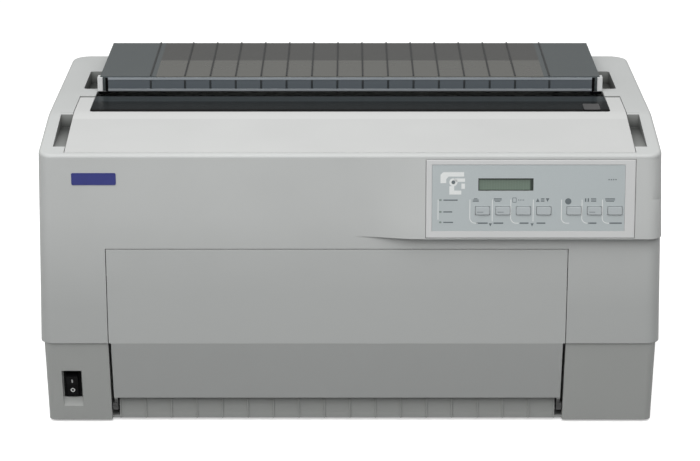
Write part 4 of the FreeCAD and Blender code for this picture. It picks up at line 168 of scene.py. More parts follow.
# %% [markdown]
# ## Moulded casings
#
# The casing, covers and keys are ABS, moulded in steel tools whose faces were spark-eroded to a fine matt grain.
# The grain could be modelled, but it is a tenth of a millimetre deep, so it is a bump. What the eye gets is a
# soft, even sheen, faint patches where the plastic cooled unevenly, and edges that are slightly round. The light
# that those edges catch is a painted highlight: a Bevel node finds them, and where its rounded normal leaves the
# true one, the colour is raised.

# %% [markdown]
# ## Painted shade in the finger pockets
#
# Four finger pockets are sunk into the top of the case, and light hardly reaches their floors. The real ones are
# the same plastic as the rest, so they could be left to the light alone, but the picture shows them much darker
# than a soft studio light makes them, so their shade is painted. This helper measures how deep a point lies below
# the sloping top, inside the strips where the pockets are, and the finish then paints them darker with that depth.

# %% Measure the depth in a finger pocket
POCKET_X = (288.0 * MM, 336.0 * MM)
POCKET_Y = (-167.0 * MM, 118.0 * MM)
POCKET_DEEPEST = 20 * MM
CASE_TOP_Z, FRONT_EDGE_Z = 350.5 * MM, 331.5 * MM
FRONT_EDGE_Y, SLOPE_END_Y = -189 * MM, -76 * MM
POCKET_ONSET = (0.3 * MM, 0.7 * MM)
POCKET_FALL = (2 * MM, 15 * MM)


def pocket_depth(tree, place):
    """How far a point lies below the case's top, in metres, where the finger pockets are, and zero elsewhere."""
    axes = add_node(tree, "ShaderNodeSeparateXYZ", None, {"Vector": place})
    slope = add_node(tree, "ShaderNodeMapRange", {"From Min": FRONT_EDGE_Y, "From Max": SLOPE_END_Y,
                                                  "To Min": FRONT_EDGE_Z, "To Max": CASE_TOP_Z},
                     {"Value": axes.outputs["Y"]})
    depth = add_node(tree, "ShaderNodeMath", {"operation": "SUBTRACT"},
                     {0: slope.outputs["Result"], 1: axes.outputs["Z"]})
    side = add_node(tree, "ShaderNodeMath", {"operation": "ABSOLUTE"}, {0: axes.outputs["X"]})
    tests = [add_node(tree, "ShaderNodeMath", {"operation": "LESS_THAN", 1: POCKET_DEEPEST},
                      {0: depth.outputs[0]})]
    for (low, high), output in ((POCKET_X, side.outputs[0]), (POCKET_Y, axes.outputs["Y"])):
        tests.append(add_node(tree, "ShaderNodeMath", {"operation": "COMPARE", 1: (low + high) / 2,
                                                       2: (high - low) / 2}, {0: output}))
    inside = depth
    for test in tests:
        inside = add_node(tree, "ShaderNodeMath", {"operation": "MULTIPLY"},
                          {0: inside.outputs[0], 1: test.outputs[0]})
    return inside.outputs[0]


print("pockets lie", round((POCKET_X[1] - POCKET_X[0]) / MM), "mm wide strips along both sides")

# %% [markdown]
# ## One recipe for every moulded piece
#
# A moulding has grain, cooling patches and slightly round edges whatever its colour, so one function takes the
# colour, the gloss and the grain, and paints a highlight along the edges. Some pieces also change their tone along
# one axis: painted shade where the light of the picture falls off or where the piece is set back, and on the top
# cover a painted highlight at its bend. Such a zone says on which axis it runs, where it starts and where it is
# full.

# %% A function for the moulded plastics
MOULD_PATCH_MM = 90
EDGE_RADIUS_MM = 0.8
# The cosine between the rounded and the true normal where the painted edge highlight starts and where it is full,
# and its full share.
HIGHLIGHT_START, HIGHLIGHT_FULL, HIGHLIGHT_SHARE = 0.97, 0.75, 0.6
GLOSS_SWING = 0.05


def moulded_plastic(name, colour, roughness, grain_mm, grain_depth_mm, edge_highlight_colour=None, patch_share=0.05,
                    pocket_shade_colours=None, zones=(), shine=0.5):
    """Injection-moulded plastic with grain, cooling patches, softened edges and a painted highlight along them."""
    made, tree, shader = begin_finish(name, colour, roughness, ior=1.54)
    shader.inputs["Specular IOR Level"].default_value = shine
    place = add_node(tree, "ShaderNodeTexCoord").outputs["Object"]
    patches = add_node(tree, "ShaderNodeTexNoise", {"Scale": 1 / (MOULD_PATCH_MM * MM), "Detail": 3.0},
                       {"Vector": place})
    plain = linear(colour)
    darker = (*[c * (1 - patch_share) for c in plain[:3]], 1.0)
    lighter = (*[min(1.0, c * (1 + patch_share)) for c in plain[:3]], 1.0)
    body = add_node(tree, "ShaderNodeMix", {"data_type": "RGBA", MIX_A: darker, MIX_B: lighter},
                    {0: patches.outputs["Fac"]})
    soft = add_node(tree, "ShaderNodeBevel", {"samples": 4, "Radius": EDGE_RADIUS_MM * MM})
    true = add_node(tree, "ShaderNodeNewGeometry")
    turn = add_node(tree, "ShaderNodeVectorMath", {"operation": "DOT_PRODUCT"},
                    {0: soft.outputs["Normal"], 1: true.outputs["Normal"]})
    # Painted highlight: where the rounded normal turns away from the true one, the colour is raised towards a paler
    # one.
    edge_highlight_share = add_node(tree, "ShaderNodeMapRange", {"From Min": HIGHLIGHT_START, "From Max": HIGHLIGHT_FULL,
                                                   "To Max": HIGHLIGHT_SHARE},
                      {"Value": turn.outputs["Value"]})
    edge = add_node(tree, "ShaderNodeMix", {"data_type": "RGBA", MIX_B: linear(edge_highlight_colour or colour)},
                    {0: edge_highlight_share.outputs["Result"], MIX_A: body.outputs[MIX_RESULT]})
    # Painted shade: inside the finger pockets the colour darkens with the depth below the top.
    if pocket_shade_colours:
        depth = pocket_depth(tree, place)
        fall = add_node(tree, "ShaderNodeMapRange", {"From Min": POCKET_FALL[0], "From Max": POCKET_FALL[1]},
                        {"Value": depth})
        pocket_shade = add_node(tree, "ShaderNodeMix", {"data_type": "RGBA", MIX_A: linear(pocket_shade_colours[0]),
                                                  MIX_B: linear(pocket_shade_colours[1])}, {0: fall.outputs["Result"]})
        inside = add_node(tree, "ShaderNodeMapRange", {"From Min": POCKET_ONSET[0], "From Max": POCKET_ONSET[1]},
                          {"Value": depth})
        edge = add_node(tree, "ShaderNodeMix", {"data_type": "RGBA"},
                        {0: inside.outputs["Result"], MIX_A: edge.outputs[MIX_RESULT],
                         MIX_B: pocket_shade.outputs[MIX_RESULT]})
    axes = add_node(tree, "ShaderNodeSeparateXYZ", None, {"Vector": place})
    # Each zone paints shade, and on the top cover a highlight: a colour that fades in along one axis.
    for axis, start_mm, full_mm, zone_colour in zones:
        share = add_node(tree, "ShaderNodeMapRange", {"From Min": start_mm * MM, "From Max": full_mm * MM},
                         {"Value": axes.outputs[axis]})
        edge = add_node(tree, "ShaderNodeMix", {"data_type": "RGBA", MIX_B: linear(zone_colour)},
                        {0: share.outputs["Result"], MIX_A: edge.outputs[MIX_RESULT]})
    grain = add_node(tree, "ShaderNodeTexNoise", {"Scale": 1 / (grain_mm * MM), "Detail": 2.0}, {"Vector": place})
    bump = add_node(tree, "ShaderNodeBump", {"Strength": 0.6, "Distance": grain_depth_mm * MM},
                    {"Height": grain.outputs["Fac"], "Normal": soft.outputs["Normal"]})
    gloss = add_node(tree, "ShaderNodeMapRange", {"To Min": roughness - GLOSS_SWING,
                                                  "To Max": roughness + GLOSS_SWING},
                     {"Value": patches.outputs["Fac"]})
    tree.links.new(edge.outputs[MIX_RESULT], shader.inputs["Base Color"])
    tree.links.new(bump.outputs["Normal"], shader.inputs["Normal"])
    tree.links.new(gloss.outputs["Result"], shader.inputs["Roughness"])
    return made


print("moulded edges look rounded by", EDGE_RADIUS_MM, "mm")

# %% [markdown]
# ## The casing's greys
#
# The real grain is about 0.15 mm, and one pixel of the picture is over a millimetre, so the grain of the large
# casings is drawn 1.3 mm wide and very shallow. The lower case is drawn in a slightly darker grey, painted shade
# of its slanted foot. The front cover and the upper case grow darker downwards, painted shade where the light falls
# off, and the front cover's hinge edge is painted black, the shade of the hinge gap. The keys are smooth, the
# rocker is polyamide, which takes the heat of its contacts, the guide's brackets are acetal, which wears well
# against the strip, and the gears are nylon, which runs quietly. All of these are the same recipe with other
# numbers, so they can be compared line by line.

# %% Mix the casing plastics
# ABS from a spark-eroded mould: the fine grain spreads every highlight into a soft sheen.
# Painted shade: darker below 260 mm, where the light falls off, and darker with depth in the finger pockets.
upper_abs = moulded_plastic("light_grey_abs_spark_eroded", "#B3B5B4", 0.52, 1.3, 0.05, "#CACBC9",
                            pocket_shade_colours=("#7F817F", "#4A4C4A"), zones=[("Z", 260, 150, "#A3A5A4")])
# The top cover is the same ABS from a mould of its own, and a touch paler near the top of its slope and behind it,
# a painted highlight at the bend.
cover_abs = moulded_plastic("cover_abs_spark_eroded", "#B6B7B6", 0.5, 1.3, 0.05, "#CED0CE",
                            zones=[("Y", -95, -93, "#BDBEBD")])
# The front cover too, in a slightly darker grey; it is painted darker downwards from 215 mm and again where it
# leans back, shade where the light falls off, and its foot is painted near black, the shade of the hinge gap.
door_abs = moulded_plastic("door_abs_spark_eroded", "#AAACAB", 0.52, 1.3, 0.05, "#BEBFBD",
                           zones=[("Z", 215, 170, "#A6A8A7"), ("Z", 107, 106, "#A1A3A2"),
                                  ("Z", 31, 30, "#1C1D1D")])
# The lower case is drawn in a darker grey, painted shade of its slanted foot, and a little more matt.
lower_abs = moulded_plastic("mid_grey_abs_spark_eroded", "#A0A2A0", 0.55, 1.3, 0.05, "#B6B8B6")
# The panel's frame comes from a finer mould, so it looks smoother and paler.
bezel_abs = moulded_plastic("bezel_abs_fine_matt", "#C0C1C1", 0.5, 1.0, 0.04, "#D5D6D6")
# The entry strip is ABS worn dull by paper, in a darker grey than the case: painted shade of its recess.
recess_abs = moulded_plastic("entry_strip_abs", "#909290", 0.6, 1.3, 0.05, "#9A9C9A")
# Black ABS with a fine grain, for the carriage, the tractors and the cartridge: dark, with a satin sheen.
dark_abs = moulded_plastic("black_abs_fine_grain", "#222426", 0.45, 0.9, 0.04, "#36393C")
# Polyamide, moulded matt: almost no sheen, so the switch reads as a dark hole with its marks.
switch_abs = moulded_plastic("black_polyamide_matt", "#050506", 0.65, 0.9, 0.03, "#0E0F10", shine=0.05)
# The keys' mould is polished, so their grain hardly shows and they take a small highlight.
key_abs = moulded_plastic("key_abs_smooth", "#A5ABAD", 0.42, 0.6, 0.01, "#B2B8B9")
# Acetal is waxy and pale, and smoother than ABS.
bracket_abs = moulded_plastic("bracket_acetal", "#C4C6C6", 0.35, 0.6, 0.01, "#DCDDDD")
# Nylon gears are cream-coloured and slightly glossy.
nylon = moulded_plastic("gear_nylon", "#D0CCBF", 0.42, 0.6, 0.01, "#DEDBD0")
print("casing plastics:", upper_abs.name, cover_abs.name, lower_abs.name)

# %% [markdown]
# ## Smoked plastic
#
# The paper guide is moulded in smoked polystyrene and left polished. It lets a little light through, so what is
# below it shows faintly, and its ribs look darker because there the smoke is deeper. A real volume would need
# many samples, so the depth is drawn: the colour changes at the height of the ribs, and over the two ends and the
# rear part the plate is painted darker, the shade that lies under it.

# %% A function for the smoked plastics
GUIDE_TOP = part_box("paper_guide")[1].z - 1.0 * MM
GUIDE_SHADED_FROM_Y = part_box("paper_guide")[0].y + 80 * MM
GUIDE_SEE_THROUGH = 0.08
GUIDE_END_X = 232 * MM
SMOKE_SHINE, PANE_SHINE = 0.25, 0.02
ZONE_SOFT, END_SOFT, RIB_SOFT, RIB_RISE = 2 * MM, 0.5 * MM, 0.2 * MM, 0.3 * MM
CLOUD_MM, WAVE_MM, WAVE_DEEP_MM = 40, 14, 0.08
POLISH_BEST, POLISH_WORST = 0.12, 0.3


def ramp(tree, middle, half, value):
    """Rises from zero to one across a place, over a short run to each side of it."""
    return add_node(tree, "ShaderNodeMapRange", {"From Min": middle - half, "From Max": middle + half},
                    {"Value": value}).outputs["Result"]


def smoked_plastic(name, zones, see_through, shine=SMOKE_SHINE, rib_colour=None, end_colour=None):
    """Polished smoked plastic. Each zone is a depth in metres and the colour from there on backwards."""
    first = zones[0][1]
    made, tree, shader = begin_finish(name, first, 0.16, ior=1.59)
    shader.inputs["Specular IOR Level"].default_value = shine
    place = add_node(tree, "ShaderNodeTexCoord").outputs["Object"]
    axes = add_node(tree, "ShaderNodeSeparateXYZ", None, {"Vector": place})
    # The zones and the ends are painted: mostly the shade that lies under the plate. The ribs are darker where the
    # smoke is deeper.
    layers = [(linear(colour), ramp(tree, y, ZONE_SOFT, axes.outputs["Y"])) for y, colour in zones]
    if end_colour:
        side = add_node(tree, "ShaderNodeMath", {"operation": "ABSOLUTE"}, {0: axes.outputs["X"]})
        layers.append((linear(end_colour), ramp(tree, GUIDE_END_X, END_SOFT, side.outputs[0])))
    if rib_colour:
        layers.append((linear(rib_colour), ramp(tree, GUIDE_TOP + RIB_RISE, RIB_SOFT, axes.outputs["Z"])))
    body = add_node(tree, "ShaderNodeRGB")
    body.outputs[0].default_value = linear(first)
    colour = body.outputs[0]
    for tone, share in layers:
        colour = add_node(tree, "ShaderNodeMix", {"data_type": "RGBA", MIX_B: tone},
                          {0: share, MIX_A: colour}).outputs[MIX_RESULT]
    clouds = add_node(tree, "ShaderNodeTexNoise", {"Scale": 1 / (CLOUD_MM * MM), "Detail": 4.0},
                      {"Vector": place})
    gloss = add_node(tree, "ShaderNodeMapRange", {"To Min": POLISH_BEST, "To Max": POLISH_WORST},
                     {"Value": clouds.outputs["Fac"]})
    waves = add_node(tree, "ShaderNodeTexNoise", {"Scale": 1 / (WAVE_MM * MM), "Detail": 1.0}, {"Vector": place})
    bump = add_node(tree, "ShaderNodeBump", {"Strength": 0.25, "Distance": WAVE_DEEP_MM * MM},
                    {"Height": waves.outputs["Fac"]})
    clear = add_node(tree, "ShaderNodeBsdfTransparent", {"Color": linear("#8E9296")})
    blend = add_node(tree, "ShaderNodeMixShader", {0: see_through},
                     {1: shader.outputs["BSDF"], 2: clear.outputs["BSDF"]})
    tree.links.new(colour, shader.inputs["Base Color"])
    tree.links.new(gloss.outputs["Result"], shader.inputs["Roughness"])
    tree.links.new(bump.outputs["Normal"], shader.inputs["Normal"])
    tree.links.new(blend.outputs["Shader"], tree.nodes["Material Output"].inputs["Surface"])
    return made


print("ribs begin above", round(GUIDE_TOP / MM, 1), "mm")

# %% [markdown]
# ## The smoked pieces
#
# The guide, the strip across its front and the cover's window come from the same smoked sheet and powder, but each
# shows something else behind it. The guide is painted darker over its rear part, the shade that lies under it, and
# the strip is thin and catches the sky. The window is painted near black over the deep well at its front, the
# well's shade, and greyer at the rear, where the head and the ribbon are near. The polished edges of a clear
# plastic gather light, so they are paler than its faces. Taking one tone for all would be simpler, and it would
# look like painted sheet.

# %% Mix the smoked plastics
WINDOW_WELL_Y, WINDOW_MIDDLE_Y, WINDOW_REAR_Y = -80 * MM, -62 * MM, -27 * MM
# Polystyrene from a polished mould: a clear sheen over a dark tone.
# Its rear part and its ends are painted darker, the shade that lies under them.
guide_smoke = smoked_plastic("smoked_polystyrene_polished", [(0, "#61615D"), (GUIDE_SHADED_FROM_Y, "#484846")],
                             GUIDE_SEE_THROUGH, rib_colour="#232525", end_colour="#4D5354")
# The strip is the same plastic, bluer where it catches the light from in front.
strip_smoke = smoked_plastic("smoked_strip_polished", [(0, "#565C61")], 0.05)
# The window is the most see-through, and nearly without sheen, because it faces the dark part of the room.
# Painted shade: near black over the deep well at the front, greyer towards the head and the ribbon at the rear.
pane_smoke = smoked_plastic("smoked_window_polished", [(WINDOW_WELL_Y, "#020202"), (WINDOW_MIDDLE_Y, "#222526"),
                                                       (WINDOW_REAR_Y, "#363B3D")], 0.2, PANE_SHINE)
# A polished cut edge gathers the light that runs inside the plastic, so the edges are pale lines.
strip_edge = moulded_plastic("strip_edge_polished", "#888E93", 0.2, 0.6, 0.005, "#A2A8AC")
# At a rib the plastic is twice as thick, so the line is darker.
rib_smoke = moulded_plastic("strip_rib_smoked", "#2A2E31", 0.3, 0.6, 0.005, "#353A3D")
strip_foot = moulded_plastic("strip_foot_polished", "#7C8185", 0.3, 0.6, 0.005, "#8A9094")
# The grip is grey ABS seen against the dark window.
grip_abs = moulded_plastic("window_grip_abs", "#3E3E3E", 0.5, 0.9, 0.02, "#4C4C4C")
print("smoked pieces:", guide_smoke.name, strip_smoke.name, pane_smoke.name)

# %% [markdown]
# ## Metals
#
# The frames, tray and plates are zinc-plated sheet steel, with the soft crystal patches of the plating. The rods
# and shafts are ground bright, which leaves fine lines round them. The print head and its fins are die-cast
# aluminium, and the bushes are sintered bronze, which is dull and porous. They differ in base colour, in
# roughness and in the shape of their pattern, so one function takes a stretch and a grain size.

# %% A function for the metals
def worked_metal(name, colour, patch_colour, roughness, patch_mm, grain_mm, stretch=(1, 1, 1)):
    """Metal with patches from plating or casting, and fine lines or pores from how it was worked."""
    made, tree, shader = begin_finish(name, colour, roughness, metallic=1.0)
    place = add_node(tree, "ShaderNodeTexCoord").outputs["Object"]
    patches = add_node(tree, "ShaderNodeTexVoronoi", {"Scale": 1 / (patch_mm * MM)}, {"Vector": place})
    tint = add_node(tree, "ShaderNodeSeparateColor", None, {"Color": patches.outputs["Color"]})
    body = add_node(tree, "ShaderNodeMix", {"data_type": "RGBA", MIX_A: linear(colour),
                                            MIX_B: linear(patch_colour)}, {0: tint.outputs["Red"]})
    run = add_node(tree, "ShaderNodeMapping", {"Scale": stretch}, {"Vector": place})
    lines = add_node(tree, "ShaderNodeTexNoise", {"Scale": 1 / (grain_mm * MM), "Detail": 3.0},
                     {"Vector": run.outputs["Vector"]})
    gloss = add_node(tree, "ShaderNodeMapRange", {"To Min": roughness - 0.1, "To Max": roughness + 0.12},
                     {"Value": lines.outputs["Fac"]})
    bump = add_node(tree, "ShaderNodeBump", {"Strength": 0.4, "Distance": 0.03 * MM},
                    {"Height": lines.outputs["Fac"]})
    tree.links.new(body.outputs[MIX_RESULT], shader.inputs["Base Color"])
    tree.links.new(gloss.outputs["Result"], shader.inputs["Roughness"])
    tree.links.new(bump.outputs["Normal"], shader.inputs["Normal"])
    return made


# Zinc plating grows crystals of about a centimetre, which mottle the sheet's dull shine.
plated_steel = worked_metal("zinc_plated_sheet_steel", "#B9BCC0", "#A4A9AF", 0.38, 12, 1.0)
# Ground rods shine brightly, with grinding lines round them; the lines are drawn 0.8 mm apart so that they show.
ground_steel = worked_metal("ground_steel_rod", "#C9CBCD", "#C2C4C7", 0.22, 30, 0.8, (12, 1, 1))
# Die casting leaves a pale, slightly uneven skin.
cast_aluminium = worked_metal("die_cast_aluminium", "#A9ABAD", "#9C9EA1", 0.45, 6, 0.7)
# Black oxide keeps the steel's lines and takes nearly all its shine.
black_steel = worked_metal("black_oxide_steel", "#3A3C3F", "#303234", 0.45, 20, 0.8, (12, 1, 1))
# Sintered bronze is pressed powder: warm in colour, porous and dull.
sintered_bronze = worked_metal("sintered_bronze", "#9A7B4C", "#8A6C42", 0.5, 3, 0.5)
print("metals:", plated_steel.name, ground_steel.name, cast_aluminium.name, sintered_bronze.name)

# %% [markdown]
# ## Rubber, ribbon, board and display
#
# The platen and feet are ground rubber, dull and almost black. The ink ribbon is woven nylon soaked with ink.
# The circuit board is glass-epoxy under green lacquer, with copper tracks showing as lighter lines. The display
# is a green reflective liquid crystal behind a clear window, with a faint grid of character cells. Each of these
# has a regular pattern of a known size, so it is drawn with Wave, Brick or Noise textures at that size.

# %% Mix rubber and ribbon
def patterned(name, colour, second_colour, roughness, ior, texture, texture_settings, bump_mm, output="Fac"):
    """A finish whose two colours and bump follow one texture."""
    made, tree, shader = begin_finish(name, colour, roughness, ior=ior)
    place = add_node(tree, "ShaderNodeTexCoord").outputs["Object"]
    pattern = add_node(tree, texture, texture_settings, {"Vector": place}).outputs[output]
    body = add_node(tree, "ShaderNodeMix", {"data_type": "RGBA", MIX_A: linear(colour),
                                            MIX_B: linear(second_colour)}, {0: pattern})
    bump = add_node(tree, "ShaderNodeBump", {"Strength": 0.5, "Distance": bump_mm * MM}, {"Height": pattern})
    tree.links.new(body.outputs[MIX_RESULT], shader.inputs["Base Color"])
    tree.links.new(bump.outputs["Normal"], shader.inputs["Normal"])
    return made


# Wave textures repeat every 2 pi / (20 * scale), so this is the scale for a spacing.
def wave_scale(spacing_mm):
    """The scale that gives a Wave texture one band per spacing."""
    return 2 * math.pi / 20 / (spacing_mm * MM)


# A ground rubber roller is matt, with a nap of about 0.1 mm that is drawn at 1.2 mm so that it shows.
platen_rubber = patterned("ground_platen_rubber", "#26282A", "#34373A", 0.7, 1.52, "ShaderNodeTexNoise",
                          {"Scale": 1 / (1.2 * MM), "Detail": 4.0}, 0.05)
# Moulded rubber feet are duller still; their texture is also drawn coarser than it is.
foot_rubber = patterned("foot_rubber", "#1C1D1E", "#2A2B2C", 0.85, 1.52, "ShaderNodeTexNoise",
                        {"Scale": 1 / (0.9 * MM), "Detail": 3.0}, 0.06)
# Woven nylon soaked with ink: the ribbon's threads are 0.15 mm apart and are drawn at 0.8 mm so that they show.
ribbon_nylon = patterned("inked_woven_nylon", "#101012", "#1E1E22", 0.6, 1.53, "ShaderNodeTexWave",
                         {"Scale": wave_scale(0.8), "bands_direction": "DIAGONAL"}, 0.05)
# A toothed belt is moulded rubber, with a band for each 2 mm tooth.
belt_rubber = patterned("toothed_belt_rubber", "#1E1F20", "#303132", 0.75, 1.52, "ShaderNodeTexWave",
                        {"Scale": wave_scale(2.0), "bands_direction": "X"}, 0.1)
# Glass-epoxy under green lacquer: smooth, with the copper tracks as paler lines.
board_lacquer = patterned("lacquered_circuit_board", "#1F5A38", "#2E7A4C", 0.35, 1.55, "ShaderNodeTexBrick",
                          {"Scale": 1 / (40 * MM), "Mortar Size": 0.01, "Brick Width": 0.4, "Row Height": 0.1},
                          0.03)
print("ribbon threads every 0.8 mm")

# %% [markdown]
# ## The panel's finishes
#
# The control panel is a stack: a display module, a printed film over it, and keys that come up through the film.
# Screen inks are thick and matt, the film has a fine texture, and the display's glass is smooth, so each of them
# gets its own gloss. One picture of the whole panel would be quicker, but it would have one gloss for all of them.

# %% Mix the panel's finishes
# The overlay is polyester film, printed on its back and lightly textured on its front against fingerprints. The
# texture is far under a millimetre, and is drawn at 0.9 mm so that it shows.
overlay_film = patterned("printed_polyester_film", "#A3AAAC", "#A9B0B1", 0.42, 1.64, "ShaderNodeTexNoise",
                         {"Scale": 1 / (0.9 * MM), "Detail": 2.0}, 0.01)
# Each character cell of the display is 3 mm wide and 6 mm high, seen only as slightly darker dots.
display_glass = patterned("green_reflective_display", "#606F63", "#67766A", 0.18, 1.52, "ShaderNodeTexBrick",
                          {"Scale": 1 / (3 * MM), "Mortar Size": 0.06, "Brick Width": 1.0, "Row Height": 2.0,
                           "offset": 0.0}, 0.005)
# Screen ink dries to a thick matt layer, which is slightly uneven in tone.
white_ink = patterned("white_screen_ink", "#D9DBDA", "#CFD2D1", 0.6, 1.5, "ShaderNodeTexNoise",
                      {"Scale": 1 / (0.8 * MM)}, 0.01)
# The grey ink is the same, only darker.
dark_ink = patterned("dark_grey_screen_ink", "#565D60", "#626A6D", 0.6, 1.5, "ShaderNodeTexNoise",
                     {"Scale": 1 / (0.8 * MM)}, 0.01)
# Pad-printed ink on the keys is thinner and lets the cap show through, so it is paler.
key_ink = patterned("grey_pad_printed_ink", "#83898B", "#8A9092", 0.6, 1.5, "ShaderNodeTexNoise",
                    {"Scale": 1 / (0.8 * MM)}, 0.01)
# Enamel fired on stamped brass: deep blue under a hard, even gloss.
badge_enamel = patterned("blue_enamel_on_brass", "#181F66", "#1C246F", 0.35, 1.5, "ShaderNodeTexNoise",
                         {"Scale": 1 / (5 * MM), "Detail": 2.0}, 0.02)
# A lamp window is moulded acrylic, smooth and a little green.
lamp_lens = patterned("lamp_lens_acrylic", "#7B8782", "#838F8A", 0.15, 1.49, "ShaderNodeTexNoise",
                      {"Scale": 1 / (1 * MM)}, 0.01)
print("panel finishes:", overlay_film.name, display_glass.name, badge_enamel.name)

# %% [markdown]
# ## Dressing the pieces of the model
#
# Each piece of the model already has the right shape, so it only takes a finish. A list for each finish is
# shorter than a line for each piece, and a piece that is on no list stops the script here, not in the picture.

# %% Give every piece its finish
FINISHES = [
    (upper_abs, "upper_case rear_cover"),
    (door_abs, "front_cover"),
    (cover_abs, "top_cover"),
    (lower_abs, "lower_case"),
    (bezel_abs, "panel_bezel"),
    (recess_abs, "entry_strip"),
    (guide_smoke, "paper_guide"),
    (strip_smoke, "tear_bar"),
    (pane_smoke, "cover_window"),
    (bracket_abs, "guide_brackets"),
    (overlay_film, "panel_overlay"),
    (display_glass, "lcd_module"),
    (board_lacquer, "panel_board main_board"),
    (key_abs, "key_pitch key_font key_tear_off key_load_eject key_feed key_pause key_menu"),
    (switch_abs, "switch_frame power_rocker"),
    (dark_abs, "carriage ribbon_cartridge mains_inlet"),
    (dark_abs, "tractor_left tractor_right flap_left flap_right"),
    (nylon, "drive_pulley idler_pulley platen_gear motor_pinion sprocket_left sprocket_right"),
    (plated_steel, "chassis_tray left_frame right_frame cross_plate head_rail power_supply"),
    (plated_steel, "port_plate base_screws drive_motors"),
    (ground_steel, "guide_rod tractor_shaft tractor_rod"),
    (black_steel, "hinge_pins paper_chute"),
    (cast_aluminium, "print_head"),
    (sintered_bronze, "platen_bushes"),
    (platen_rubber, "platen"),
    (foot_rubber, "rubber_feet"),
    (belt_rubber, "carriage_belt feed_belt pin_belt_left pin_belt_right"),
    (ribbon_nylon, "ink_ribbon"),
]


def dress(piece, finish):
    """Puts a finish on a piece, in place of what it came with."""
    piece.data.materials.clear()
    piece.data.materials.append(finish)


undressed = set(nodes)
for finish, names in FINISHES:
    for name in names.split():
        dress(nodes[name], finish)
        undressed.remove(name)
if undressed:
    raise SystemExit(f"no finish for {sorted(undressed)}")
print("finishes given to", len(nodes), "pieces")

# %% [markdown]
# ## Thin pieces
#
# Printing, badges and window frames are too thin to be worth a place in the construction, but they show. Each is
# an outline, given a small thickness, in a frame of its own: x runs across, z up, and y into the printer. A ray
# cast from the front finds the surface that such a piece lies on, so it stays there if the construction changes.

# %% Helpers for outlines
def block(x0, x1, z0, z1):
    """The outline of a plain rectangle."""
    return [(x0, z0), (x1, z0), (x1, z1), (x0, z1)]


def rounded(x0, x1, z0, z1, radius, steps=4):
    """The outline of a rectangle with round corners."""
    points = []
    for cx, cz, start in ((x1 - radius, z1 - radius, 0), (x0 + radius, z1 - radius, 90),
                          (x0 + radius, z0 + radius, 180), (x1 - radius, z0 + radius, 270)):
        points += arc(cx, cz, radius, start, start + 90, steps)
    return points


def arc(cx, cz, radius, start, end, steps=8):
    """Points on an arc, with its angles in degrees."""
    angles = [math.radians(start + (end - start) * i / steps) for i in range(steps + 1)]
    return [(cx + radius * math.cos(a), cz + radius * math.sin(a)) for a in angles]


def stroke(path, width):
    """The outline of a line drawn with a broad pen along a path."""
    left, right = [], []
    for i, point in enumerate(path):
        before, after = path[max(i - 1, 0)], path[min(i + 1, len(path) - 1)]
        run = Vector((after[0] - before[0], after[1] - before[1])).normalized() * width / 2
        left.append((point[0] - run.y, point[1] + run.x))
        right.append((point[0] + run.y, point[1] - run.x))
    return left + right[::-1]


print("a rounded outline has", len(rounded(0, 4, 0, 2, 0.5)), "points")

# %% [markdown]
# ## From an outline to a piece
#
# An outline becomes a plate by giving it a front and a back ring of points and joining them. A curve object with an
# extrusion would do the same, but a mesh written out point by point can hold many plates in one piece, and its
# frame can be tilted with the surface. The last helper casts the ray that finds such a frame.

# %% Helpers for thin pieces
def add_plate(mesh, outline, front, back, place):
    """Adds a plate to a mesh: an outline in millimetres between two depths, set in a frame in metres."""
    rings = [[mesh.verts.new(place @ (Vector((x, depth, z)) * MM)) for x, z in outline] for depth in (front, back)]
    mesh.faces.new(rings[0])
    mesh.faces.new(rings[1][::-1])
    for i in range(len(outline)):
        j = (i + 1) % len(outline)
        mesh.faces.new((rings[0][j], rings[0][i], rings[1][i], rings[1][j]))


def finish_piece(name, mesh, finish, body):
    """Turns a bmesh into a named piece with a finish, riding on a body."""
    bmesh.ops.recalc_face_normals(mesh, faces=mesh.faces)
    data = bpy.data.meshes.new(name)
    mesh.to_mesh(data)
    mesh.free()
    data.materials.append(finish)
    made = bpy.data.objects.new(name, data)
    bpy.context.scene.collection.objects.link(made)
    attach(made, body)
    print(name, "has", len(data.polygons), "faces and rides on", body)
    return made


def thin_piece(name, outlines, front, back, place, finish, body, slot):
    """A piece made of one or more plates in one frame."""
    mesh = bmesh.new()
    for outline in outlines:
        add_plate(mesh, outline, front, back, place)
    return finish_piece(name, mesh, finish, body)


def frame_on(node, x, z):
    """The frame of the surface that a ray from the front meets at x and z in metres: y goes into the surface."""
    start = Vector((x, cad_low.y - 0.1, z))
    hit, point, normal, _ = nodes[node].ray_cast(start, Vector((0, 1, 0)))
    if not hit:
        raise SystemExit(f"no surface of {node} at {x}, {z}")
    inward = -normal.normalized()
    across = Vector((1, 0, 0))
    up = across.cross(inward).normalized()
    across = inward.cross(up)
    return Matrix.Translation(point) @ Matrix((across, inward, up)).transposed().to_4x4()


badge_side = frame_on("upper_case", 0.8 * cad_low.x, 0.8 * cad_high.z)
print("near the badge the case's front lies at y", round(badge_side.translation.y, 4))

# A thin piece is sunk this deep into what carries it, so that no gap shows between them.
SEAT_MM = 0.05

# %% [markdown]
# ## The badge plate
#
# A small plain plate in blue enamel is let into the front at the left. It could be flat, but a real one is stamped,
# with a raised rim that catches light, so it is a rim and a slightly lower field. The rim is a chain of four rings
# of points, and each ring is joined to the next.

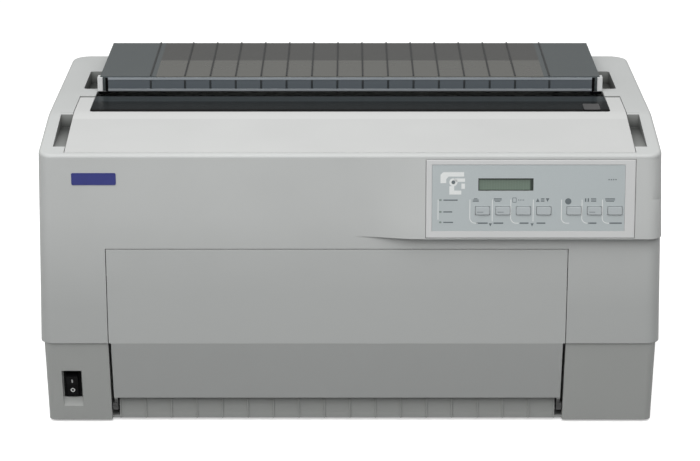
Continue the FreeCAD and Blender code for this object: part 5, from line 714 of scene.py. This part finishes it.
# %% Make the badge plate
BADGE_CENTRE = Vector((-288 * MM, 303.6 * MM))
BADGE_WIDTH, BADGE_HEIGHT, BADGE_RIM, BADGE_PROUD = 50, 14, 0.9, 0.7
FIELD_RADIUS, CORNER_RADIUS, FIELD_SHARE, SHOULDER_SHARE = 0.8, 1.6, 0.7, 0.8
badge_place = frame_on("upper_case", BADGE_CENTRE.x, BADGE_CENTRE.y)
half_width, half_height = BADGE_WIDTH / 2, BADGE_HEIGHT / 2
field = rounded(-half_width + BADGE_RIM, half_width - BADGE_RIM, -half_height + BADGE_RIM,
                half_height - BADGE_RIM, FIELD_RADIUS)
thin_piece("badge_field", [field], -BADGE_PROUD * FIELD_SHARE, SEAT_MM, badge_place, badge_enamel, "case",
           "overlay")
rim_mesh = bmesh.new()
outer = rounded(-half_width, half_width, -half_height, half_height, CORNER_RADIUS)
rings = [[rim_mesh.verts.new(badge_place @ (Vector((x, depth, z)) * MM)) for x, z in points]
         for points, depth in ((outer, SEAT_MM), (outer, -BADGE_PROUD * SHOULDER_SHARE), (field, -BADGE_PROUD),
                               (field, SEAT_MM))]
for first, second in zip(rings, rings[1:] + rings[:1]):
    for i in range(len(first)):
        j = (i + 1) % len(first)
        rim_mesh.faces.new((first[i], first[j], second[j], second[i]))
finish_piece("badge_rim", rim_mesh, badge_enamel, "case")

# %% [markdown]
# ## Printing on the panel
#
# The panel's film carries white curves that tie each key to its marks, small dark symbols, and a white pictogram
# of paper passing a roller. The symbols are common ones: pages, bars, triangles and dots. They could be an image,
# but outlines in real millimetres stay sharp at any distance. The panel leans back, so its prints are drawn in a
# frame that leans with it, with x across the printer, z up the panel and y into it.

# %% The panel's own frame and the keys' places
LIP_TALL_MM, LIP_PROUD_MM = 92.0, 10.0
FILM_FRONT_MM, INK_MM, INK_SEAT_MM = 0.3, 0.08, 0.1
KEY_TALL_MM = 9.0
PANEL_FOOT_Z = 235.5 * MM
panel_slope = math.atan2(LIP_PROUD_MM, LIP_TALL_MM)
lip = Vector((0, cad_low.y, PANEL_FOOT_Z))
panel_place = Matrix.Translation(lip) @ Matrix.Rotation(-panel_slope, 4, "X")
KEY_NAMES = "key_pitch key_font key_tear_off key_load_eject key_feed key_pause key_menu".split()
key_spans = [(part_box(name)[0].x / MM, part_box(name)[1].x / MM) for name in KEY_NAMES]
key_low = min((panel_place.inverted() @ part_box(name)[0]).z / MM for name in KEY_NAMES)
key_high = key_low + KEY_TALL_MM
print("keys from", [round(a, 1) for a, b in key_spans], "and from", round(key_low, 1), "mm up the panel")

# %% [markdown]
# ## The white curves
#
# A thin white line runs down the left of each key and turns below it, so that the eye reads the key with the marks
# above and below. Each is a pen stroke along a straight, a quarter circle and a short foot. Lines with thickness
# could come from a bevelled curve; a stroke's outline lies flat, as ink does.

# %% White curves beside the keys
CURVE_PEN, CURVE_RADIUS, CURVE_GAP = 0.8, 6.0, 5.0
CURVED_KEYS, STRAIGHT_KEYS = (0, 2, 4, 5, 6), (1, 3)
STATUS_X = 101.0
CURVE_TOP, CURVE_FOOT, CURVE_RUN = key_high + 10, key_low - 8, 9
cell_lefts = [low - CURVE_GAP for low, high in key_spans]
white = []
for i in CURVED_KEYS:
    x = cell_lefts[i]
    leg = [(x, CURVE_TOP), (x, CURVE_FOOT + CURVE_RADIUS)]
    leg += arc(x + CURVE_RADIUS, CURVE_FOOT + CURVE_RADIUS, CURVE_RADIUS, 180, 270)[1:]
    leg.append((x + CURVE_RUN, CURVE_FOOT))
    white.append(stroke(leg, CURVE_PEN))
for i in STRAIGHT_KEYS:
    x = (key_spans[i - 1][1] + key_spans[i][0]) / 2 - 0.5
    cell_lefts[i] = x
    white.append(stroke([(x, CURVE_TOP), (x, CURVE_FOOT + 2)], CURVE_PEN))
white.append(stroke([(STATUS_X - 2, CURVE_TOP), (STATUS_X - 2, key_low - 4)], CURVE_PEN))
thin_piece("panel_print_curves", white, FILM_FRONT_MM - INK_MM, FILM_FRONT_MM + INK_SEAT_MM, panel_place,
           white_ink, "case", "overlay")

# %% [markdown]
# ## The pictogram
#
# At the panel's left a white picture shows a sheet going round a roller. It is built from five flat shapes, placed
# from the picture's lower left corner, with a dark dot for the roller's axle.

# %% The white pictogram of paper passing a roller
PICTOGRAM = (101.5, 129.0, 51.5, 77.0)
ROLLER_PLACE, ROLLER_RADIUS, AXLE_RADIUS = (14.5, 14.0), 4.6, 2.2
x0, x1, z0, z1 = PICTOGRAM
roller_x, roller_z = x0 + ROLLER_PLACE[0], z0 + ROLLER_PLACE[1]
upper_page = [(x0 + 3, z1), (x1 - 1, z1), (x1 - 1, z1 - 5), (x0 + 9, z1 - 5), (x0 + 6.5, z1 - 8),
              (x0 + 6.5, z0 + 13), (x0, z0 + 13), (x0, z1 - 3)]
roller = arc(roller_x, roller_z, ROLLER_RADIUS, 0, 360, 20)[:-1]
middle_page = [(x0 + 14, z0 + 18.4), (x1, z0 + 18.4), (x1, z0 + 14.5), (x0 + 17.5, z0 + 14.5)]
lower_page = [(x0 + 10, z0), (x1 - 4, z0), (x1 - 4, z0 + 4.5), (x0 + 15.5, z0 + 4.5),
              (x0 + 15.5, z0 + 9.6), (x0 + 10, z0 + 9.6)]
side_page = block(x1 - 4, x1, z0 + 6.5, z0 + 12.5)
thin_piece("panel_print_pictogram", [upper_page, middle_page, lower_page, side_page, roller],
           FILM_FRONT_MM - INK_MM, FILM_FRONT_MM + INK_SEAT_MM, panel_place, white_ink, "case", "overlay")
axle = arc(roller_x, roller_z, AXLE_RADIUS, 0, 360, 16)[:-1]
thin_piece("panel_print_roller", [axle], FILM_FRONT_MM - 2 * INK_MM, FILM_FRONT_MM, panel_place, dark_ink, "case",
           "overlay")

# %% [markdown]
# ## The dark symbols
#
# Every key has small grey marks above and below it. At this size each line of print is a grey bar to the eye, so
# bars of the right length stand for it, next to pointers, dots, a page and a disc. Text objects would need a font,
# and would say more than the marks have to.

# %% Shapes for the symbols
def bars(x, z, widths, pitch=1.5, height=0.9):
    """A stack of short bars, centred on x, its top one at z."""
    return [block(x - w / 2, x + w / 2, z - pitch * i - height, z - pitch * i) for i, w in enumerate(widths)]


def pointer(x, z, size, direction):
    """A triangle that points up (1) or down (-1)."""
    return [(x - size / 2, z - direction * size / 2), (x + size / 2, z - direction * size / 2),
            (x, z + direction * size / 2)]


def dots(x, z, count, pitch=1.9, radius=0.6):
    """A row of round dots, centred on x."""
    return [arc(x + pitch * (i - (count - 1) / 2), z, radius, 0, 360, 10)[:-1] for i in range(count)]


def page(x, z, width=4.0, height=5.0, pen=0.6):
    """A page drawn as four thin strokes."""
    w, h = width / 2, height / 2
    return [stroke(side, pen) for side in ([(x - w, z - h), (x + w, z - h)], [(x + w, z - h), (x + w, z + h)],
                                           [(x + w, z + h), (x - w, z + h)], [(x - w, z + h), (x - w, z - h)])]


print("a page is drawn with", len(page(0, 0)), "strokes")

# %% Dark symbols above and below the keys
SYMBOL_Z, FOOT_Z = key_high + 9.5, key_low - 8.0
# How far the middle of each key's symbols lies from the line at its left.
SYMBOL_SHIFTS = (6.5, 6, 8, 10.5, 7.5, 9, 8.5)
DISC_RADIUS = 3.6
centres = [left + shift for left, shift in zip(cell_lefts, SYMBOL_SHIFTS)]
symbols = bars(centres[0], SYMBOL_Z + 2, (4, 7, 7)) + bars(centres[1], SYMBOL_Z + 2, (9, 9, 6))
symbols += page(centres[2] - 4, SYMBOL_Z) + dots(centres[2] + 3.5, SYMBOL_Z, 4)
symbols += [pointer(centres[3] - 5.5, SYMBOL_Z, 4.2, 1), pointer(centres[3] + 5.5, SYMBOL_Z, 4.2, -1)]
symbols += bars(centres[3], SYMBOL_Z + 2, (4, 4, 4))
symbols.append(arc(centres[4], SYMBOL_Z - 1.5, DISC_RADIUS, 0, 360, 20)[:-1])
symbols += [stroke([(centres[5] + s, SYMBOL_Z - 2), (centres[5] + s, SYMBOL_Z + 2)], 1.6) for s in (-5, -2)]
symbols += bars(centres[5] + 4, SYMBOL_Z + 2, (6, 6, 6)) + bars(centres[6], SYMBOL_Z + 2, (11, 11, 9))
# The marks under the keys: the middle and the width of each bar, and the two pointers between them.
FOOT_BARS = ((148.5, 13), (167, 11), (196, 10), (215, 10), (272.5, 10), (299, 14))
for x, width in FOOT_BARS:
    symbols += bars(x, FOOT_Z + 0.8, (width,), height=1.6)
FOOT_POINTERS = (158, 205)
for x in FOOT_POINTERS:
    symbols.append(pointer(x, FOOT_Z - 2, 3.6, -1))
STATUS_ROWS = (SYMBOL_Z, key_low + 5, FOOT_Z + 1)
STATUS_WIDTHS = (16, 10, 11)
CORNER_DOTS = (294.5, 68.5)
for z, width in zip(STATUS_ROWS, STATUS_WIDTHS):
    symbols += bars(STATUS_X + 4 + width / 2, z + 0.6, (width,), height=1.4)
symbols += dots(*CORNER_DOTS, 4, pitch=2.6, radius=0.8)
thin_piece("panel_print_symbols", symbols, FILM_FRONT_MM - INK_MM, FILM_FRONT_MM + INK_SEAT_MM, panel_place,
           dark_ink, "case", "overlay")

# %% [markdown]
# ## Sills round the keys
#
# The keys move in openings with a little play, and on the real panel a lip behind the film closes that gap, so no
# light comes out of it. The gap is real and stays; four thin strips just behind each opening's edge, and one along
# the top of the panel's frame, hide what lies behind. A darker finish inside would only make the gap look wider.

# %% Sills that close the gaps round the keys and above the bezel
SILL_FRONT_MM, SILL_BACK_MM, KEY_GAP_MM, SILL_PLAY_MM = 0.45, 1.1, 0.4, 0.05
BEZEL_SILL_Z, BEZEL_SILL_Y = (-1.6, -0.9), (0.4, 1.4)
sills = []
for x0, x1 in key_spans:
    near = (x0 - SILL_PLAY_MM, x1 + SILL_PLAY_MM, key_low - SILL_PLAY_MM, key_high + SILL_PLAY_MM)
    far = (x0 - KEY_GAP_MM, x1 + KEY_GAP_MM, key_low - KEY_GAP_MM, key_high + KEY_GAP_MM)
    sills += [block(far[0], near[0], far[2], far[3]), block(near[1], far[1], far[2], far[3]),
              block(near[0], near[1], far[2], near[2]), block(near[0], near[1], near[3], far[3])]
thin_piece("key_sills", sills, SILL_FRONT_MM, SILL_BACK_MM, panel_place, overlay_film, "case", "overlay")
bezel_low, bezel_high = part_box("panel_bezel")
panel_top = math.hypot(LIP_TALL_MM, LIP_PROUD_MM)
sill = block(bezel_low.x / MM, bezel_high.x / MM, panel_top + BEZEL_SILL_Z[0], panel_top + BEZEL_SILL_Z[1])
thin_piece("bezel_sill", [sill], *BEZEL_SILL_Y, panel_place, bezel_abs, "case", "lower_abs")

# %% [markdown]
# ## Marks on the keys and the lamps beside them
#
# Three of the caps carry a short printed mark, which moves with its key, so each is a piece of its own that rides
# on that key. The three status lamps are small clear windows in the film. They are dark, as the printer is off.

# %% Marks on the caps of three keys
KEY_MARK_WIDTH, KEY_MARK_TALL, KEY_FACE_MM = 7, 1.3, -1.3
MARKED_KEYS, KEY_MARK_INSET, KEY_MARK_RISE = (0, 1, 5), 3, 1
for i in MARKED_KEYS:
    x, z = key_spans[i][0] + KEY_MARK_INSET, (key_low + key_high) / 2 + KEY_MARK_RISE
    mark = block(x, x + KEY_MARK_WIDTH, z - KEY_MARK_TALL, z)
    thin_piece(KEY_NAMES[i] + "_mark", [mark], KEY_FACE_MM - SEAT_MM, KEY_FACE_MM + INK_SEAT_MM, panel_place,
               key_ink, KEY_NAMES[i], "keycap")

# %% Lamp windows at the left of the status marks
LAMP_LEFT, LAMP_RIGHT, LAMP_HALF_TALL, LAMP_RADIUS, LAMP_PROUD = -0.8, 2.0, 1.0, 0.5, 0.25
lamps = [rounded(STATUS_X + LAMP_LEFT, STATUS_X + LAMP_RIGHT, z - LAMP_HALF_TALL, z + LAMP_HALF_TALL, LAMP_RADIUS)
         for z in STATUS_ROWS]
thin_piece("panel_lamps", lamps, FILM_FRONT_MM - LAMP_PROUD, FILM_FRONT_MM + INK_SEAT_MM, panel_place,
           lamp_lens, "case", "display")

# %% [markdown]
# ## The display's dark surround
#
# The display sits behind the film, and a dark mask round it hides the edge of its glass. The mask is widest at
# the top and right, where the picture shows the darkest edge: there it is partly a painted shadow of the window's
# rim. Four strips, just inside the window, are enough.

# %% Make the mask
WINDOW = (144.0, 206.0, 55.5, 70.0)
MASK_FRONT_MM, MASK_BACK_MM = 2.4, 2.9
MASK_LEFT, MASK_RIGHT, MASK_FOOT, MASK_TOP = 1.0, 3.4, 0.9, 1.8
x0, x1, z0, z1 = WINDOW
mask = [block(x0, x1, z1 - MASK_TOP, z1), block(x0, x1, z0, z0 + MASK_FOOT),
        block(x0, x0 + MASK_LEFT, z0 + MASK_FOOT, z1 - MASK_TOP),
        block(x1 - MASK_RIGHT, x1, z0 + MASK_FOOT, z1 - MASK_TOP)]
# The mask is black ink on the back of the glass, so it is smoother than ink on a film. Its wide top and right
# strips are also a painted shadow.
mask_and_shadow_ink = patterned("black_mask_and_shadow_ink", "#16201A", "#1E2A22", 0.4, 1.5, "ShaderNodeTexNoise",
                     {"Scale": 1 / (1 * MM)}, 0.01)
thin_piece("display_mask_and_shadow", mask, MASK_FRONT_MM, MASK_BACK_MM, panel_place, mask_and_shadow_ink, "case", "display")

# %% [markdown]
# ## Marks on the power switch
#
# The rocker has a bar for on and a ring for off, printed in white. They ride on the rocker, so they tilt with it.
# A ring can't be one outline, because an outline has no hole, so it is made of short segments that share their
# points.

# %% Mark the rocker
rocker_middle = (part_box("power_rocker")[0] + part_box("power_rocker")[1]) / 2
ON_RISE, OFF_DROP, MARK_PROUD = 5.0, 7.5, 0.1
MARK_OUTER, MARK_INNER, BAR_PEN, RING_STEPS = 2.6, 1.5, 1.3, 24
on_place = frame_on("power_rocker", rocker_middle.x, rocker_middle.z + ON_RISE * MM)
off_place = frame_on("power_rocker", rocker_middle.x, rocker_middle.z - OFF_DROP * MM)
thin_piece("rocker_mark_on", [stroke([(0, -MARK_OUTER), (0, MARK_OUTER)], BAR_PEN)], -MARK_PROUD, SEAT_MM,
           on_place, white_ink, "rocker", "dark_abs")
ring = bmesh.new()
for i in range(RING_STEPS):
    start, end = math.tau * i / RING_STEPS, math.tau * (i + 1) / RING_STEPS
    corners = ((MARK_OUTER, start), (MARK_OUTER, end), (MARK_INNER, end), (MARK_INNER, start))
    add_plate(ring, [(r * math.cos(a), r * math.sin(a)) for r, a in corners], -MARK_PROUD, SEAT_MM, off_place)
bmesh.ops.remove_doubles(ring, verts=ring.verts, dist=0.001 * MM)
finish_piece("rocker_mark_off", ring, white_ink, "rocker")

# %% [markdown]
# ## Edges and ribs of the tear strip
#
# The smoked strip in front of the guide has polished top and bottom edges, which look like two light lines, and
# the guide's ribs run on down its face. The edges are thin bars just in front of the strip, so that they keep
# their brightness from every side.

# %% Make the strip's edges and ribs
strip_low, strip_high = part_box("tear_bar")
strip_body = nodes["tear_bar"]["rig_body"]
EDGE_TALL, EDGE_PROUD, END_WIDTH, RIB_PROUD = 2.9, 0.35, 3.2, 0.2
RIB_PITCH, RIB_COUNT, OUTER_RIB_X, RIB_HALF = 30.4, 14, 238.6, 1.2
strip_place = Matrix.Translation((0, strip_low.y, 0))
left, right, low, high = (v / MM for v in (strip_low.x, strip_high.x, strip_low.z, strip_high.z))
for name, z, finish in (("tear_strip_foot", low, strip_foot), ("tear_strip_edge", high - EDGE_TALL, strip_edge)):
    thin_piece(name, [block(left, right, z, z + EDGE_TALL)], -EDGE_PROUD, SEAT_MM, strip_place, finish,
               strip_body, "smoked")
rib_places = [RIB_PITCH * (i - (RIB_COUNT - 1) / 2) for i in range(RIB_COUNT)] + [-OUTER_RIB_X, OUTER_RIB_X]
ribs = [block(x - RIB_HALF, x + RIB_HALF, low + EDGE_TALL, high - EDGE_TALL) for x in rib_places]
thin_piece("tear_strip_ribs", ribs, -RIB_PROUD, SEAT_MM, strip_place, rib_smoke, strip_body, "smoked")
ends = [block(x, x + END_WIDTH, low, high) for x in (left, right - END_WIDTH)]
thin_piece("tear_strip_ends", ends, -EDGE_PROUD - SEAT_MM, SEAT_MM, strip_place, switch_abs, strip_body, "smoked")

# %% [markdown]
# ## Painted shade at the deck's ends
#
# Two flat black plates stand in front of the cut ends of the deck under the brackets, where the strip comes down.
# They are painted shade: there the eye sees only a few millimetres of dark edge, so two flat plates do.

# %% Make the shade plates
SHADE_PLATE_X, SHADE_PLATE_Z, SHADE_PLATE_PROUD = (288, 302), (347.6, 350.4), 0.3
shade_plate_place = Matrix.Translation((0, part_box("paper_guide")[0].y, 0))
shade_plates = [block(*sorted(side * x for x in SHADE_PLATE_X), *SHADE_PLATE_Z) for side in (-1, 1)]
# The plates are painted shade over the deck's cut ends.
thin_piece("deck_end_shade_plates", shade_plates, -SHADE_PLATE_PROUD, SEAT_MM, shade_plate_place, switch_abs, "case", "rubber")

# %% [markdown]
# ## The window's grip
#
# A small grey block stands on the window at its right end, where a finger lifts it. It is a single plate that
# lies flat, so its frame has y pointing down into the window.

# %% Make the grip
GRIP_X, GRIP_Y, GRIP_PROUD, GRIP_RADIUS = (273, 292), (-66, -42), 1.2, 1.5
window_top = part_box("cover_window")[1].z
lying_flat = Matrix(((1, 0, 0), (0, 0, -1), (0, 1, 0))).transposed().to_4x4()
flat_place = Matrix.Translation((0, 0, window_top)) @ lying_flat
thin_piece("window_grip", [rounded(*GRIP_X, *GRIP_Y, GRIP_RADIUS)], -GRIP_PROUD, SEAT_MM, flat_place, grip_abs,
           nodes["cover_window"]["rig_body"], "window")

# %% [markdown]
# ## The studio
#
# The picture has a white ground and no hard shadows. The floor is pale matt paper, with a little light of its own,
# which keeps it white up to the horizon. It takes shadows but throws no light back on the printer, because its
# bounce would flatten the slanted foot of the case, which falls darker in the picture.

# %% Lay the floor
FLOOR_HALF = 9.0
FLOOR_GLOW = 0.45
# Backdrop paper is matt, with soft clouds of tone where it has been rolled.
floor_paper = patterned("matt_backdrop_paper", "#F7F7F6", "#FAFAF9", 0.9, 1.45, "ShaderNodeTexNoise",
                        {"Scale": 1 / (60 * MM), "Detail": 4.0}, 0.1)
floor_mesh = bmesh.new()
bmesh.ops.create_grid(floor_mesh, x_segments=8, y_segments=8, size=FLOOR_HALF)
floor_data = bpy.data.meshes.new("floor")
floor_mesh.to_mesh(floor_data)
floor_mesh.free()
floor_data.materials.append(floor_paper)
floor = bpy.data.objects.new("floor", floor_data)
bpy.context.scene.collection.objects.link(floor)
floor.visible_diffuse = False
glow = floor_paper.node_tree.nodes["Principled BSDF"]
glow.inputs["Emission Color"].default_value = linear("#FFFFFF")
glow.inputs["Emission Strength"].default_value = FLOOR_GLOW
floor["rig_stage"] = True
print("floor", 2 * FLOOR_HALF, "m wide")

# %% [markdown]
# ## Light
#
# A dome of light that grows brighter towards the top gives the tops their brightness and leaves the undersides
# dark. An even dome would light the case's slanted foot as much as its front. One large soft box, in front, above
# and a little to the left, lights the faces, and a weak one behind keeps the side rails and the rear corners from
# going grey. The weak one is left out of reflections, because it would show as a streak in the smoked plastic.

# %% Light the dome
DOME_ZENITH, DOME_HORIZON = 0.9, 0.1
world = bpy.data.worlds.new("studio_dome")
world.use_nodes = True
bpy.context.scene.world = world
dome = world.node_tree
direction = add_node(dome, "ShaderNodeTexCoord").outputs["Generated"]
height = add_node(dome, "ShaderNodeSeparateXYZ", None, {"Vector": direction})
rise = add_node(dome, "ShaderNodeMapRange", {"To Min": DOME_HORIZON, "To Max": DOME_ZENITH},
                {"Value": height.outputs["Z"]})
background = dome.nodes["Background"]
background.inputs["Color"].default_value = linear("#FFFFFF")
dome.links.new(rise.outputs["Result"], background.inputs["Strength"])
print("dome light from", DOME_HORIZON, "to", DOME_ZENITH)

# %% Hang the soft boxes
def soft_box(name, place, aim, width, height, watts, spread, mirrored=True):
    """A rectangular area light at a place, turned towards a point."""
    data = bpy.data.lights.new(name, "AREA")
    data.shape = "RECTANGLE"
    data.size, data.size_y = width, height
    data.energy = watts
    data.spread = math.radians(spread)
    made = bpy.data.objects.new(name, data)
    made.location = place
    made.rotation_mode = "QUATERNION"
    made.rotation_quaternion = (Vector(aim) - Vector(place)).to_track_quat("-Z", "Y")
    made.visible_camera = False
    made.visible_glossy = mirrored
    bpy.context.scene.collection.objects.link(made)
    print(name, "gives", watts, "W")
    return made


soft_box("front_soft_box", place=(-0.2, -1.0, 1.3), aim=(0, -0.05, 0.42), width=2.4, height=1.7, watts=16.0,
         spread=120)
soft_box("back_soft_box", place=(0.3, 1.6, 0.9), aim=(0, 0.2, 0.15), width=2.0, height=0.8, watts=2.4,
         spread=120, mirrored=False)
bpy.context.scene.view_settings.view_transform = "Standard"

# %% [markdown]
# ## The last step
#
# The dressed printer's box is printed, as the model's was at the start, so that the two can be compared.

# %% Print the dressed box
low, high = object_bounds()
print("dressed box in metres:", [round(v, 4) for v in (*low, *high)])
